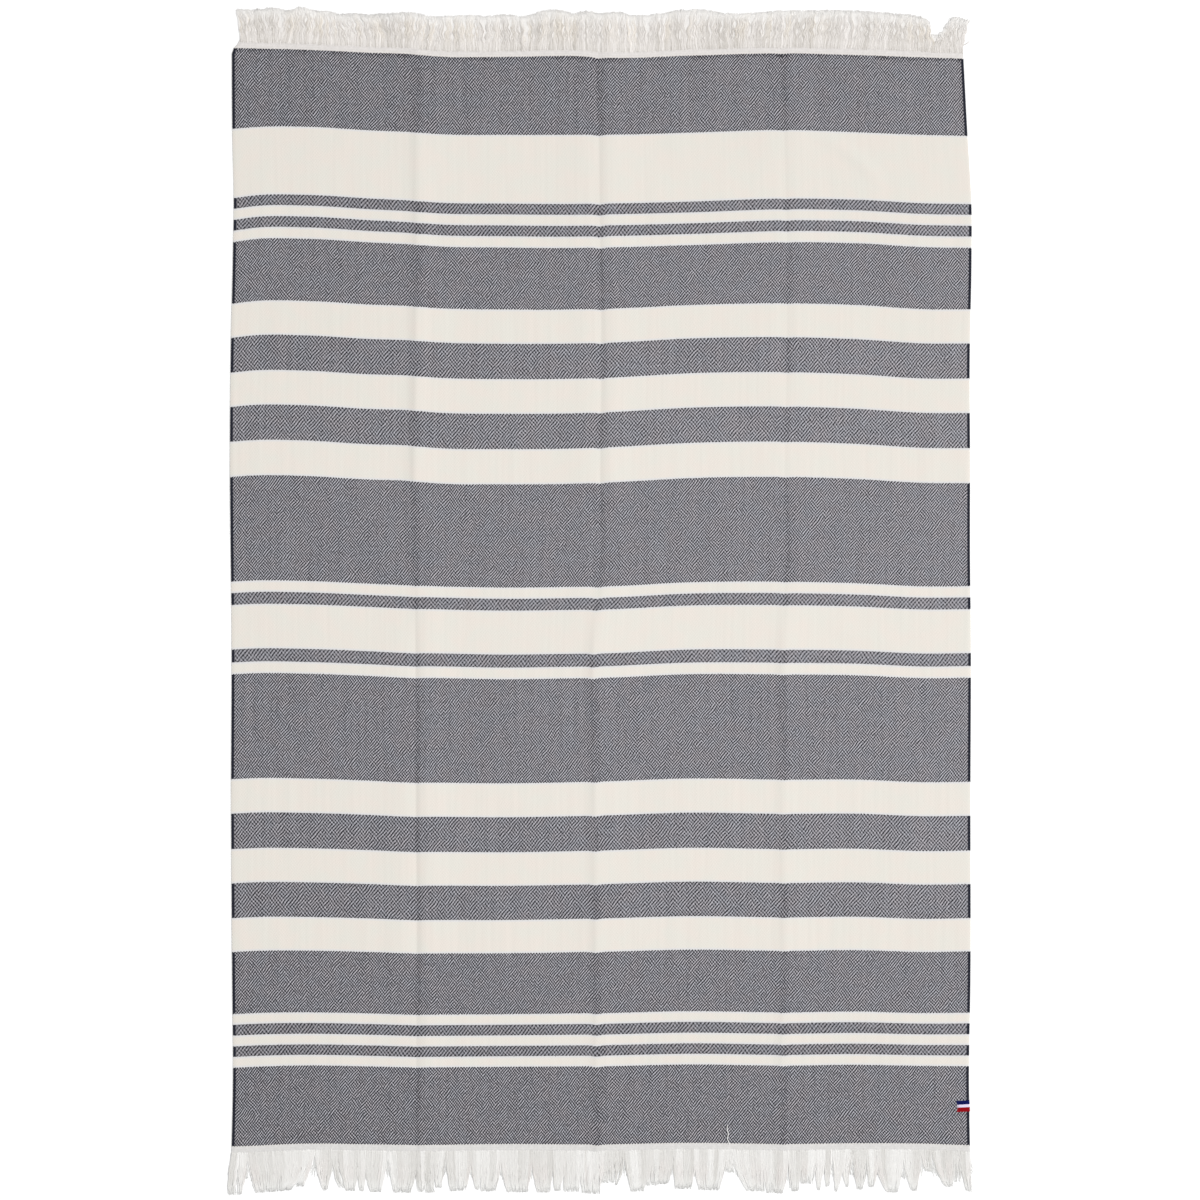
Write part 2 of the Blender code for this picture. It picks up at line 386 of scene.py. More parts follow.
@dataclass(frozen=True)
class StripedCotton:
    """Yarn-dyed cotton in broken twill: a white warp under charcoal and cream weft.

    In the charcoal bands the white warp shows as short slanted strokes between the dark
    weft floats, which mostly rise to the right. The cream bands are the same weave in one
    colour, so they look nearly plain. The twill is steeper than 45 degrees: it repeats
    every 3.8 mm across the cloth and every 4.6 mm down it. It is too fine to show in a
    render of the narrow bands, so there it is drawn coarser by up to three tenths. In its
    patches lean_back is the least and the most that leans the other way. Sizes are in mm.
    """

    repeat_across: float = 3.83
    repeat_down: float = 4.64
    coarsest: float = 0.77
    slub: tuple[float, float] = (60, 2.5)
    streak: tuple[float, float] = (5, 160)
    wander: float = 3.5
    patch: tuple[float, float] = (9.0, 16.0)
    lean_back: tuple[float, float] = (0.2, 0.6)
    fullness: tuple[float, float] = (0.3, 1.9)
    narrow_fullness: float = 0.34
    narrow_share: float = 0.65
    contrast: tuple[float, float] = (0.5, 0.73)
    selvedge_fade: tuple[float, float] = (3.0, 4.4)
    middle_down: float = 750.0
    heading_depth: float = 20.0
    pick_repeat: float = 3.0
    charcoal: str = "#17181E"
    warp_cool: str = "#B4B4BB"
    warp_warm: str = "#B8B4B9"
    selvedge: str = "#191B27"
    cream_warm: str = "#D8D1C9"
    cream_pale: str = "#D5D2CA"
    cream_edge: str = "#D0CFCF"
    heading_top: str = "#D2CECB"
    heading_bottom: str = "#CDCBC9"

    def material(self) -> Material:
        """Builds the material from the cloth's plan and its distances to edges.

        Returns:
            The material.
        """
        nodes = Nodes("yarn_dyed_twill_cotton")
        plan_map = nodes.add("UVMap ClothPlan")
        plan = nodes.add("VectorMath SCALE", {0: plan_map, "Scale": 1 / MM})
        uneven = nodes.add("TexNoise", {"Vector": plan, "Scale": 1 / 4, "Detail": 1.0})
        slub = self.long_noise(nodes, plan, self.slub, 2.0)
        streak = self.long_noise(nodes, plan, self.streak, 2.0)
        tint_noise = nodes.add("TexNoise", {"Vector": plan, "Scale": 1 / 28, "Detail": 2.0})
        tint = nodes.add("MapRange", {"Value": tint_noise, "From Min": 0.35, "From Max": 0.65})
        twill = self.twill(nodes, plan, uneven)
        down = nodes.add("SeparateXYZ", (plan,), output="Y")
        dark = self.dark_band(nodes, down, twill, slub, streak, tint)
        light = self.light_band(nodes, down, twill, uneven, streak, tint)

        # The weft changes colour on a line that the twill makes finely toothed.
        band_edge = nodes.add("Attribute BandEdge", output="Fac")
        toothed = nodes.add("Math MULTIPLY_ADD", (twill, -0.5, band_edge))
        is_dark = nodes.add(
            "MapRange SMOOTHSTEP", {"Value": toothed, "From Min": -0.3, "From Max": 0.3}
        )
        colour = nodes.add("Mix RGBA", {"Factor": is_dark, 6: light, 7: dark})
        height = nodes.add("Math MULTIPLY_ADD", (slub, 0.6, twill))
        bump = nodes.add("Bump", {"Height": height, "Strength": 1.0, "Distance": 0.03 * MM})
        roughness = nodes.add("MapRange", {"Value": uneven, "To Min": 0.88, "To Max": 0.98})
        nodes.feed(nodes.shader, {
            "Base Color": colour,
            "Roughness": roughness,
            "Normal": bump,
            "Specular IOR Level": 0.25,
            "Sheen Weight": 0.06,
            "Sheen Roughness": 0.5,
        })
        return nodes.material

    def long_noise(
        self, nodes: Nodes, plan: Socket, size: tuple[float, float], detail: float,
    ) -> Socket:
        """Adds a noise with spots that are longer one way than the other.

        Args:
            nodes: The material's nodes.
            plan: The place on the cloth, in mm.
            size: Their size across and down the cloth, in mm.
            detail: The noise's detail.

        Returns:
            The noise.
        """
        share = (1 / size[0], 1 / size[1], 0)
        spots = nodes.add("VectorMath MULTIPLY", (plan, share))
        return nodes.add("TexNoise", {"Vector": spots, "Scale": 1.0, "Detail": detail})

    def twill(self, nodes: Nodes, plan: Socket, uneven: Socket) -> Socket:
        """Adds the twill, which is 1 on the crown of a warp float and -1 between two.

        It is a mean of waves along the two diagonals. In most patches the one that rises
        to the right is stronger. A noise makes some floats fuller than others, and less so
        in a narrow band.

        Args:
            nodes: The material's nodes.
            plan: The place on the cloth, in mm.
            uneven: A noise of a few mm.

        Returns:
            The twill.
        """
        wander = nodes.add(
            "TexNoise", {"Vector": plan, "Scale": 1 / 18, "Detail": 1.0}, output="Color"
        )
        wander_mm = nodes.add("VectorMath MULTIPLY", (wander, (self.wander, self.wander, 0.0)))
        threads = nodes.add("VectorMath ADD", (plan, wander_mm))
        band_edge = nodes.add("Attribute BandEdge", output="Fac")
        in_dark = nodes.add("Math GREATER_THAN", (band_edge, -0.4))
        narrow = nodes.add("Attribute Narrow", output="Fac")
        narrow = nodes.add("Math MULTIPLY", (narrow, in_dark))
        fineness = nodes.add("MapRange", {"Value": narrow, "To Min": 1.0, "To Max": self.coarsest})
        threads = nodes.add("VectorMath SCALE", {0: threads, "Scale": fineness})
        turn = TURN / self.repeat_across, TURN / self.repeat_down
        rising = nodes.wave(threads, (turn[0], turn[1], 0))
        falling = nodes.wave(threads, (turn[0], -turn[1], 0))
        patch_noise = self.long_noise(nodes, plan, self.patch, 1.0)
        patch = nodes.add(
            "MapRange SMOOTHSTEP",
            {"Value": patch_noise, "From Min": 0.45, "From Max": 0.55,
             "To Min": self.lean_back[0], "To Max": self.lean_back[1]},
        )
        even = nodes.add("Mix", {"Factor": patch, 2: rising, 3: falling})
        fullness = nodes.add(
            "MapRange",
            {"Value": uneven, "From Min": 0.32, "From Max": 0.68,
             "To Min": self.fullness[0], "To Max": self.fullness[1]},
        )
        steady = nodes.add("Math MULTIPLY", (narrow, self.narrow_share))
        fullness = nodes.add("Mix", {"Factor": steady, 2: fullness, 3: self.narrow_fullness})
        return nodes.add("Math MULTIPLY", (even, fullness))

    def dark_band(
        self, nodes: Nodes, down: Socket, twill: Socket, slub: Socket, streak: Socket, tint: Socket,
    ) -> Socket:
        """Adds the colour of a charcoal band: weft, and as much warp as shows through.

        Less of the warp shows at the selvedges, at a band's edges and in the first picks of all.
        Painted shade darkens the pressed folds, and painted light makes the band lighter to the
        right and half way down.

        Args:
            nodes: The material's nodes.
            down: The distance down the cloth, in mm.
            twill: The twill.
            slub: The thick and thin places of the weft.
            streak: The uneven spacing of the warp.
            tint: A soft noise that tints the warp.

        Returns:
            The colour.
        """
        selvedge_edge = nodes.add("Attribute SelvedgeEdge", output="Fac")
        contrast = nodes.add(
            "MapRange SMOOTHSTEP",
            {"Value": selvedge_edge, "From Min": 3.5, "From Max": 8.0,
             "To Min": self.contrast[0], "To Max": self.contrast[1]},
        )
        band_edge = nodes.add("Attribute BandEdge", output="Fac")
        edge_loss = nodes.add(
            "MapRange",
            {"Value": band_edge, "From Min": 0.5, "From Max": 4.0, "To Min": -0.04, "To Max": 0.0},
        )
        first_share = nodes.add(
            "MapRange",
            {"Value": down, "From Min": 12.5, "From Max": 17.5, "To Min": -0.3, "To Max": 0.0},
        )
        first_picks = nodes.add("Math MULTIPLY", (first_share, tint))
        # The warp's share with painted light, lighter to the right and half way down, and painted
        # shade in the pressed folds.
        openness = nodes.add("Attribute Openness", output="Fac")
        show = nodes.add("Math MULTIPLY_ADD", (twill, contrast, openness))
        for loss in (edge_loss, first_picks):
            show = nodes.add("Math ADD", (show, loss))
        for noise, share in ((streak, 0.2), (slub, 0.2)):
            show = nodes.add("Math MULTIPLY_ADD", (noise, share, show))
        warp = nodes.add(
            "Mix RGBA", {"Factor": tint, 6: linear(self.warp_cool), 7: linear(self.warp_warm)}
        )
        band = nodes.add("Mix RGBA", {"Factor": show, 6: linear(self.charcoal), 7: warp})
        inside = nodes.add(
            "MapRange SMOOTHSTEP",
            {"Value": selvedge_edge, "From Min": self.selvedge_fade[0],
             "From Max": self.selvedge_fade[1]},
        )
        return nodes.add("Mix RGBA", {"Factor": inside, 6: linear(self.selvedge), 7: band})

    def light_band(
        self, nodes: Nodes, down: Socket, twill: Socket, uneven: Socket, streak: Socket,
        tint: Socket,
    ) -> Socket:
        """Adds the colour of a cream band and of the headings.

        The last picks beside a charcoal band are whiter. The heading is cream at the top
        and greyer at the bottom, and its picks show as faint lines.

        Args:
            nodes: The material's nodes.
            down: The distance down the cloth, in mm.
            twill: The twill.
            uneven: A noise of a few mm.
            streak: The uneven spacing of the warp.
            tint: A soft noise that tints the weft.

        Returns:
            The colour.
        """
        body = nodes.add(
            "Mix RGBA", {"Factor": tint, 6: linear(self.cream_pale), 7: linear(self.cream_warm)}
        )
        band_edge = nodes.add("Attribute BandEdge", output="Fac")
        beside = nodes.add(
            "MapRange SMOOTHSTEP", {"Value": band_edge, "From Min": -3.8, "From Max": -1.2}
        )
        cream = nodes.add("Mix RGBA", {"Factor": beside, 6: body, 7: linear(self.cream_edge)})
        lower = nodes.add("Math GREATER_THAN", (down, self.middle_down))
        heading = nodes.add(
            "Mix RGBA",
            {"Factor": lower, 6: linear(self.heading_top), 7: linear(self.heading_bottom)},
        )
        end_edge = nodes.add("Attribute EndEdge", output="Fac")
        in_heading = nodes.add("Math LESS_THAN", (end_edge, self.heading_depth))
        base = nodes.add("Mix RGBA", {"Factor": in_heading, 6: cream, 7: heading})
        pick_turn = nodes.add("Math MULTIPLY", (down, TURN / self.pick_repeat))
        picks = nodes.add("Math COSINE", (pick_turn,))
        pick_share = nodes.add("Math MULTIPLY", (in_heading, 0.02))
        uneven_share = nodes.add("Math MULTIPLY", (in_heading, 0.25))
        value = nodes.add("Math MULTIPLY_ADD", (in_heading, -0.125, 0.97))
        waves = ((twill, 0.014), (streak, 0.08), (picks, pick_share), (uneven, uneven_share))
        for wave, share in waves:
            value = nodes.add("Math MULTIPLY_ADD", (wave, share, value))
        return nodes.add("VectorMath SCALE", {0: base, "Scale": value})


@dataclass(frozen=True)
class LooseYarn:
    """Two-ply cotton warp yarn: matt, deeper in some locks and palest at the tips.

    Some locks take a faint tint, so that the fringe isn't of one colour. The deep colour is
    partly the yarn's own uneven tone and partly painted shadow between strands and locks.
    """

    name: str
    deep_and_painted_shadow: str
    pale: str
    tip: str
    tinted: str
    ply_repeat: float = 2.4

    def material(self) -> Material:
        """Builds the material, which reads each strand's shade and the way along it.

        Returns:
            The material.
        """
        nodes = Nodes(self.name)
        shade = nodes.add("Attribute Shade", output="Fac")
        tip_share = nodes.add("Attribute TipShare", output="Fac")
        # The deep colour is partly the yarn's own uneven tone and partly painted shadow between
        # strands and locks.
        base = nodes.add("Mix RGBA", {"Factor": shade, 6: linear(self.deep_and_painted_shadow), 7: linear(self.pale)})
        tint = nodes.add("Attribute Tint", output="Fac")
        base = nodes.add("Mix RGBA", {"Factor": tint, 6: base, 7: linear(self.tinted)})
        near_tip = nodes.add(
            "MapRange SMOOTHSTEP",
            {"Value": tip_share, "From Min": 0.6, "From Max": 1.0, "To Max": 0.7},
        )
        colour = nodes.add("Mix RGBA", {"Factor": near_tip, 6: base, 7: linear(self.tip)})
        yarn = nodes.add("UVMap YarnPlan")
        twist = nodes.wave(yarn, (TURN, TURN / (self.ply_repeat * MM), 0))
        twist_value = nodes.add("Math MULTIPLY_ADD", (twist, 0.02, 0.98))
        plied = nodes.add("VectorMath SCALE", {0: colour, "Scale": twist_value})
        bump = nodes.add("Bump", {"Height": twist, "Strength": 0.6, "Distance": 0.05 * MM})
        nodes.feed(nodes.shader, {
            "Base Color": plied,
            "Roughness": 0.96,
            "Normal": bump,
            "Specular IOR Level": 0.2,
            "Sheen Weight": 0.15,
            "Sheen Roughness": 0.6,
        })
        return nodes.material


@dataclass(frozen=True)
class WovenRibbon:
    """Polyester taffeta ribbon in blue, white and red: fine ribs and a faint lustre."""

    blue: str = "#030F50"
    white: str = "#DDD5EA"
    red: str = "#8F0311"
    blue_share: float = 0.345
    white_share: float = 0.6
    edge_wander: float = 0.06
    rib_repeat: float = 1.0

    def material(self) -> Material:
        """Builds the material: bands by the way across, and ribs by the way along.

        Returns:
            The material.
        """
        nodes = Nodes("taffeta_ribbon")
        plan = nodes.add("UVMap RibbonPlan")
        side = nodes.add("SeparateXYZ", (plan,), output="Y")
        along = side.node.outputs["X"]
        edge_noise = nodes.add("TexNoise", {"Vector": plan, "Scale": 18.0, "Detail": 1.0})
        across = nodes.add("Math MULTIPLY_ADD", (edge_noise, self.edge_wander, side))
        ramp = nodes.add("ValToRGB", (across,))
        stops = ramp.node.color_ramp
        stops.interpolation = "CONSTANT"
        stops.elements[0].color = linear(self.blue)
        stops.elements[1].position = self.white_share + self.edge_wander / 2
        stops.elements[1].color = linear(self.red)
        white = stops.elements.new(self.blue_share + self.edge_wander / 2)
        white.color = linear(self.white)
        rib_turn = nodes.add("Math MULTIPLY", (along, TURN / self.rib_repeat))
        rib = nodes.add("Math COSINE", (rib_turn,))
        value = nodes.add("Math MULTIPLY_ADD", (rib, 0.10, 0.92))
        colour = nodes.add("VectorMath SCALE", {0: ramp, "Scale": value})
        bump = nodes.add("Bump", {"Height": rib, "Strength": 0.7, "Distance": 0.04 * MM})
        nodes.feed(nodes.shader, {
            "Base Color": colour, "Roughness": 0.7, "Normal": bump, "Specular IOR Level": 0.08,
        })
        return nodes.material


@dataclass(frozen=True)
class SewingThread:
    """Mercerised cotton thread: smooth, with a slight shine."""

    colour: str = "#20222E"
    twist_repeat: float = 0.8

    def material(self) -> Material:
        """Builds the material, with a fine twist along the thread.

        Returns:
            The material.
        """
        nodes = Nodes("mercerised_thread")
        yarn = nodes.add("UVMap YarnPlan")
        twist = nodes.wave(yarn, (TURN, TURN / (self.twist_repeat * MM), 0))
        value = nodes.add("Math MULTIPLY_ADD", (twist, 0.25, 1.0))
        colour = nodes.add("VectorMath SCALE", {0: linear(self.colour)[:3], "Scale": value})
        nodes.feed(nodes.shader, {"Base Color": colour, "Roughness": 0.6})
        return nodes.material


@dataclass(frozen=True)
class PaperFloor:
    """Seamless white studio paper: matt, with hardly any grain."""

    white: str = "#FBFBFB"

    def material(self) -> Material:
        """Builds the material, with a grain too faint to see from the camera.

        Returns:
            The material.
        """
        nodes = Nodes("seamless_studio_paper")
        place = nodes.add("TexCoord", output="Object")
        grain = nodes.add("TexNoise", {"Vector": place, "Scale": 400.0})
        bump = nodes.add("Bump", {"Height": grain, "Strength": 0.2, "Distance": 0.02 * MM})
        nodes.feed(nodes.shader, {
            "Base Color": linear(self.white),
            "Roughness": 1.0,
            "Normal": bump,
            "Specular IOR Level": 0.0,
        })
        return nodes.material


# ---------------------------------------------------------------- the cloth


class Weft(Enum):
    """The yarn that a band of the cloth is woven with."""

    CHARCOAL = 1
    CREAM = -1


class Section(NamedTuple):
    """Where the selvedges and folds lie, from the middle line, at a distance down."""

    down: float
    left: float
    fold_1: float
    fold_2: float
    fold_3: float
    right: float


class Sag(NamedTuple):
    """How far a weft line hangs towards the bottom fringe, at the cloth's sag places."""

    down: float
    at_places: tuple[float, ...]


class Fold(NamedTuple):
    """A pressed fold along the cloth, and its heights at the fold stations.

    It stands up as a ridge on one half of the cloth, and lies low between two lips on
    the other half, because the towel had been folded across its middle as well. The weft
    lines dip towards the bottom fringe where they cross it.
    """

    number: int
    dip: float
    ridge_heights: tuple[float, ...]
    valley_heights: tuple[float, ...]


class Flank(NamedTuple):
    """A point of a fold's outline: its distance right of the fold and share of the height."""

    off: float
    share: float


class Crease(NamedTuple):
    """A soft crease between two points of the cloth, as (X, down) pairs.

    It bows sideways by bow at its middle, and stands up by height, or lies low if that
    is negative, over reach on each side.
    """

    start: tuple[float, float]
    end: tuple[float, float]
    bow: float
    height: float
    reach: float


@dataclass
class Cloth:
    """The towel's cloth: one woven sheet with its bands, folds, creases and selvedges."""

    length: float = 1500.0
    panel_width: float = 250.0
    panels: int = 4
    thickness: float = 1.3
    column_step: float = 9.0
    least_column: float = 0.0035
    fold_columns: tuple[float, ...] = (0.0, 1.2, 2.6, 4.5, 6.5, 9.0, 12.0, 16.0, 21.0, 27.0, 34.0)
    row_step: float = 8.0
    narrow_width: float = 34.0
    narrow_gain: float = 0.05
    tape_down: float = 1435.2
    tape_lift: float = 0.8
    tape_fade_across: tuple[float, float] = (20.0, 36.0)
    tape_fade_along: tuple[float, float] = (9.5, 20.0)
    corner_tuck: float = 11.0

    # Widths from the top end down, cream and charcoal in turn.
    bands: tuple[float, ...] = (
        11, 105, 93, 14.5, 15, 14.5, 15.5, 83.5, 46.5, 47.5, 47, 47.5, 48, 141, 15.5, 16, 60,
        17.5, 16, 141, 46.5, 47.5, 46, 46.5, 45.5, 83, 14.5, 14.5, 14.5, 14, 14.5, 105.5, 12,
    )

    sections: tuple[Section, ...] = (
        Section(0, -497.5, -247, -1, 247, 493.5),
        Section(115, -497, -247, 0, 250, 499.5),
        Section(215, -495, -247, 1, 254, 505),
        Section(285, -496, -247, 2, 255, 505),
        Section(420, -499, -248, 3, 255, 502.5),
        Section(555, -500, -250, 2, 252, 503),
        Section(700, -499, -249, 1, 253, 503),
        Section(785, -498, -249, -6, 250, 504),
        Section(1030, -498.5, -248, -5, 250, 503.5),
        Section(1265, -497, -247, -4, 250, 503.5),
        Section(1400, -496, -248, -3, 249, 501.5),
        Section(1500, -498, -248, -3, 249, 503),
    )

    sag_places: tuple[float, ...] = (
        0, 0.12, 0.4, 0.75, 0.98, 1.08, 1.5, 1.88, 2.04, 2.5, 3, 3.4, 3.75, 4,
    )
    sags: tuple[Sag, ...] = (
        Sag(0, (-9, -8, -6, -2, 0, 2.5, 3.5, 2.5, 5, 2, -1, 1, 4, 6)),
        Sag(115, (-4, -6.5, -7, -2, 0.5, 2.5, 4, 4, 4, 1, -2.5, 0.5, 4, 5.5)),
        Sag(240, (-3, -7, -7.5, -2.5, 0.5, 2.5, 4.5, 5, 4.5, 1.5, -2.5, -1, 4, 5)),
        Sag(400, (-3, -6.5, -6.5, -1.5, 0.5, 2.5, 5, 4.5, 3.5, -2.5, -4, -1, 4.5, 4.5)),
        Sag(590, (-4.5, -6.5, -6, -1, 1, 3.5, 5.5, 4.5, 3, -3, -4.5, -1.5, 3.5, 4)),
        Sag(760, (-3.5, -5, -4.5, -1, 1.5, 2, 4, 3, 2.5, -3, -3.5, -1.5, 2.5, 2)),
        Sag(995, (-2, -3.5, -3, 0, 2.5, 2.5, 3.5, 2, 1, -3, -1.5, -1.5, 2, 1.5)),
        Sag(1310, (1.5, 0, -1, 0.5, 2, 2, 1.5, 0.5, 0, -2.5, -1, -2, 0, -0.5)),
        Sag(1500, (3.5, 2.5, -0.5, 0.5, 1, 1, 0, 0.5, 0.5, -1.5, 0, -1, -0.5, 2)),
    )

    fold_downs: tuple[float, ...] = (0, 250, 500, 690, 810, 1000, 1250, 1500)
    folds: tuple[Fold, ...] = (
        Fold(1, 0.5, (1.3, 1.8, 2.3, 1.5, 0.1, 0, 0, 0.3), (0, 0, 0, 0.2, 1.4, 1.7, 1.5, 1.2)),
        Fold(2, 1.3, (0, 0, 0, 0.2, 1.6, 1.5, 1.4, 1.6), (1.5, 1.3, 1.5, 1.3, 0.1, 0, 0, 0)),
        Fold(3, 0.7, (0, 0, 0, 0.1, 1.3, 1.2, 1.3, 0.9), (0.8, 0.6, 0.6, 0.6, 0.1, 0, 0, 0)),
    )
    dip_reach: float = 7.0
    ridge: tuple[Flank, ...] = (
        Flank(-26, 0), Flank(-20, 0.03), Flank(-13, 0.12), Flank(-9, 0.28), Flank(-5, 0.54),
        Flank(-1, 0.9), Flank(2, 1.0), Flank(7, 0.93), Flank(16, 0.68), Flank(28, 0.42),
        Flank(40, 0.24), Flank(55, 0.08), Flank(72, 0),
    )
    valley_left: tuple[Flank, ...] = (
        Flank(-55, 0), Flank(-40, 0.25), Flank(-26, 0.5), Flank(-16, 0.52), Flank(-8, 0.38),
        Flank(0, 0.12),
    )
    valley_right: tuple[Flank, ...] = (
        Flank(0, 0.12), Flank(2, 0.34), Flank(5, 0.66), Flank(9, 0.9), Flank(13, 1.0),
        Flank(20, 0.93), Flank(35, 0.5), Flank(50, 0.12), Flank(64, 0),
    )
    # Painted shade that darkens the dark weave along the pressed folds.
    painted_fold_shade_reach: float = 5.0
    painted_fold_shade: float = 0.07
    open_share: float = 0.158
    # Painted light in the dark weave: lighter to the right and half way down, and darker towards
    # the lower right.
    painted_light_to_right: float = 0.075
    painted_light_at_middle: float = 0.05
    painted_shade_low_right: float = 0.02
    crease_fade: float = 0.3
    swell_height: float = 0.14

    creases: tuple[Crease, ...] = (
        Crease((282, 122), (386, 196), 15.0, 1.1, 6.5),
        Crease((56, 336), (192, 334), -4.0, -0.9, 7.0),
        Crease((56, 344), (196, 341), -4.0, 0.6, 6.0),
        Crease((326, 640), (436, 668), 5.0, 0.4, 8.0),
        Crease((300, 784), (412, 806), -6.0, 0.4, 8.0),
        Crease((55, 802), (125, 812), 3.0, 0.3, 7.0),
        Crease((-420, 250), (-310, 300), 8.0, 0.3, 12.0),
        Crease((-160, 520), (-40, 480), -9.0, 0.3, 12.0),
        Crease((-180, 1010), (-60, 1045), 7.0, 0.3, 12.0),
        Crease((60, 1240), (170, 1205), -6.0, 0.3, 12.0),
    )

    def lines(self, down: Array) -> Array:
        """Where the selvedges and folds lie at distances down.

        Args:
            down: Distances down, as one row.

        Returns:
            Five X values for each distance.
        """
        table = np.array(self.sections, float)
        return smooth_weights(table[:, 0], down) @ table[:, 1:]

    def sag(self, place: Array, down: Array) -> Array:
        """How far the weft lines hang: the table read smoothly both ways.

        At each fold they hang lower by its dip, which falls as a bell beside it.

        Args:
            place: Places across, as one row.
            down: Distances down, as one row.

        Returns:
            The sag at each pair.
        """
        table = np.array([row.at_places for row in self.sags])
        along = smooth_weights([row.down for row in self.sags], down)
        across = smooth_weights(self.sag_places, place)
        hang = np.einsum("ki,ij,kj->k", along, table, across)
        for fold in self.folds:
            off = (place - fold.number) * self.panel_width
            hang += fold.dip * np.exp(-((off / self.dip_reach) ** 2))
        return hang

    def fold_rise(self, x: Array, down: Array, lines: Array) -> Array:
        """Height of the folds: each outline read smoothly, times its height there.

        Args:
            x: X of the points.
            down: Their distances down.
            lines: The section lines at those distances.

        Returns:
            The rise at each point.
        """
        rise = np.zeros_like(x)
        for fold in self.folds:
            off = x - lines[:, fold.number]
            ridge, left, right = (
                smooth_curve(*np.transpose(flanks), np.clip(off, flanks[0].off, flanks[-1].off))
                for flanks in (self.ridge, self.valley_left, self.valley_right)
            )
            valley = np.where(off < 0, left, right)
            rise += ridge * smooth_curve(self.fold_downs, fold.ridge_heights, down)
            rise += valley * smooth_curve(self.fold_downs, fold.valley_heights, down)
        return np.maximum(rise, 0)

    def openness(self, place: Array, down: Array) -> Array:
        """How much white warp shows in the dark weave, with painted light: lighter to the
        right and half way down, and darker towards the lower right.

        Painted shade darkens it along the pressed folds, by a share that falls as a bell beside
        them.

        Args:
            place: Places across, as one row.
            down: Distances down, as one row.

        Returns:
            The share of white warp that shows, with the painted light and shade, before the noises
            are added.
        """
        from_middle = ((down - 0.45 * self.length) / (0.5 * self.length)) ** 2
        side = place / self.panels
        # Painted light: lighter to the right and half way down, and darker towards the lower right.
        share = self.open_share + self.painted_light_to_right * (side - 0.5)
        share = share - self.painted_light_at_middle * from_middle
        share = share - self.painted_shade_low_right * side * down / self.length
        # Painted shade along the pressed folds.
        for fold in self.folds:
            off = (place - fold.number) * self.panel_width - 2.0
            share = share - self.painted_fold_shade * np.exp(-((off / self.painted_fold_shade_reach) ** 2))
        return share

    def crease_rise(self, x: Array, down: Array) -> Array:
        """Height of the soft creases: a bell across each bowed line, fading at its ends.

        Args:
            x: X of the points.
            down: Their distances down.

        Returns:
            The rise at each point, below 0 in a trough.
        """
        rise = np.zeros_like(x)
        for crease in self.creases:
            chord = np.subtract(crease.end, crease.start)
            span = np.hypot(*chord)
            away = np.stack((x - crease.start[0], down - crease.start[1]), -1)
            share = away @ chord / span**2
            off = (away[:, 0] * chord[1] - away[:, 1] * chord[0]) / span
            off = off - crease.bow * 4 * share * (1 - share)
            fade = smooth_step(0, self.crease_fade, share)
            fade = fade * smooth_step(0, self.crease_fade, 1 - share)
            rise += crease.height * fade * np.exp(-((off / crease.reach) ** 2))
        return rise

    def swell(self, x: Array, down: Array) -> Array:
        """The faint unevenness of cloth that isn't ironed: a few long crossing waves.

        Args:
            x: X of the points.
            down: Their distances down.

        Returns:
            A height from 0 up at each point.
        """
        waves = (
            np.sin(x / 31 + 0.8 * np.sin(down / 95)),
            np.sin(x / 57 - down / 130 + 1.7),
            np.sin(down / 47 + 1.1 * np.sin(x / 120)),
        )
        return self.swell_height * (3 + sum(waves)) / 2

    def tape_rise(self, x: Array, down: Array, lines: Array) -> Array:
        """How far the cloth is lifted where the ribbon's lower leaf lies under it.

        Args:
            x: X of the points.
            down: Their distances down.
            lines: The section lines at those distances.

        Returns:
            The rise at each point.
        """
        across = 1 - smooth_step(*self.tape_fade_across, lines[:, self.panels] - x)
        along = 1 - smooth_step(*self.tape_fade_along, np.abs(down - self.tape_down))
        return self.tape_lift * across * along

    def underside(self, place: Array, down: Array) -> Array:
        """Points of the cloth's underside.

        X runs straight between the section lines, and the heading's left corner is drawn
        in. Y falls with the distance down and the sag. Z is the sum of the rises.

        Args:
            place: Places across, as one row.
            down: Distances down, as one row.

        Returns:
            A point for each pair.
        """
        lines = self.lines(down)
        panel = np.clip(place.astype(int), 0, self.panels - 1)
        row = np.arange(len(place))
        start, end = lines[row, panel], lines[row, panel + 1]
        x = start + (place - panel) * (end - start)
        x = x + self.corner_tuck * smooth_step(0.16, 0, place) * smooth_step(16, 0, down)
        y = self.length / 2 - down - self.sag(place, down)
        rise = self.fold_rise(x, down, lines) + self.tape_rise(x, down, lines)
        soft = self.swell(x, down) + self.crease_rise(x, down)
        return np.stack((x, y, rise + np.maximum(soft, 0)), -1)

    def top(self, place: Array, down: Array) -> Array:
        """Points of the cloth's upper face: its underside, a thickness higher.

        The thickness falls to six tenths in the last few mm before a rim, as an S-shape.

        Args:
            place: Places across, as one row.
            down: Distances down, as one row.

        Returns:
            A point for each pair.
        """
        to_side = np.minimum(place, self.panels - place) * self.panel_width
        to_end = np.minimum(down, self.length - down)
        full = smooth_step(-2, 4, np.minimum(to_side, to_end))
        high = self.underside(place, down)
        high[:, 2] += self.thickness * (0.5 + 0.5 * full)
        return high

    def columns(self) -> Array:
        """Places of the mesh's columns: even all over, and close at folds and edges.

        Returns:
            Rising places across, with every selvedge and fold among them.
        """
        even = np.linspace(0, self.panels, round(self.panels * self.panel_width / self.column_step))
        near = np.array(self.fold_columns) / self.panel_width
        folds = [fold.number + side * near for fold in self.folds for side in (-1, 1)]
        edges = [near[:5], self.panels - near[:5]]
        places = np.unique(np.round(np.concatenate([even, *folds, *edges]), 4))
        kept = np.concatenate(([True], np.diff(places) > self.least_column))
        return np.union1d(places[kept], np.arange(self.panels + 1))

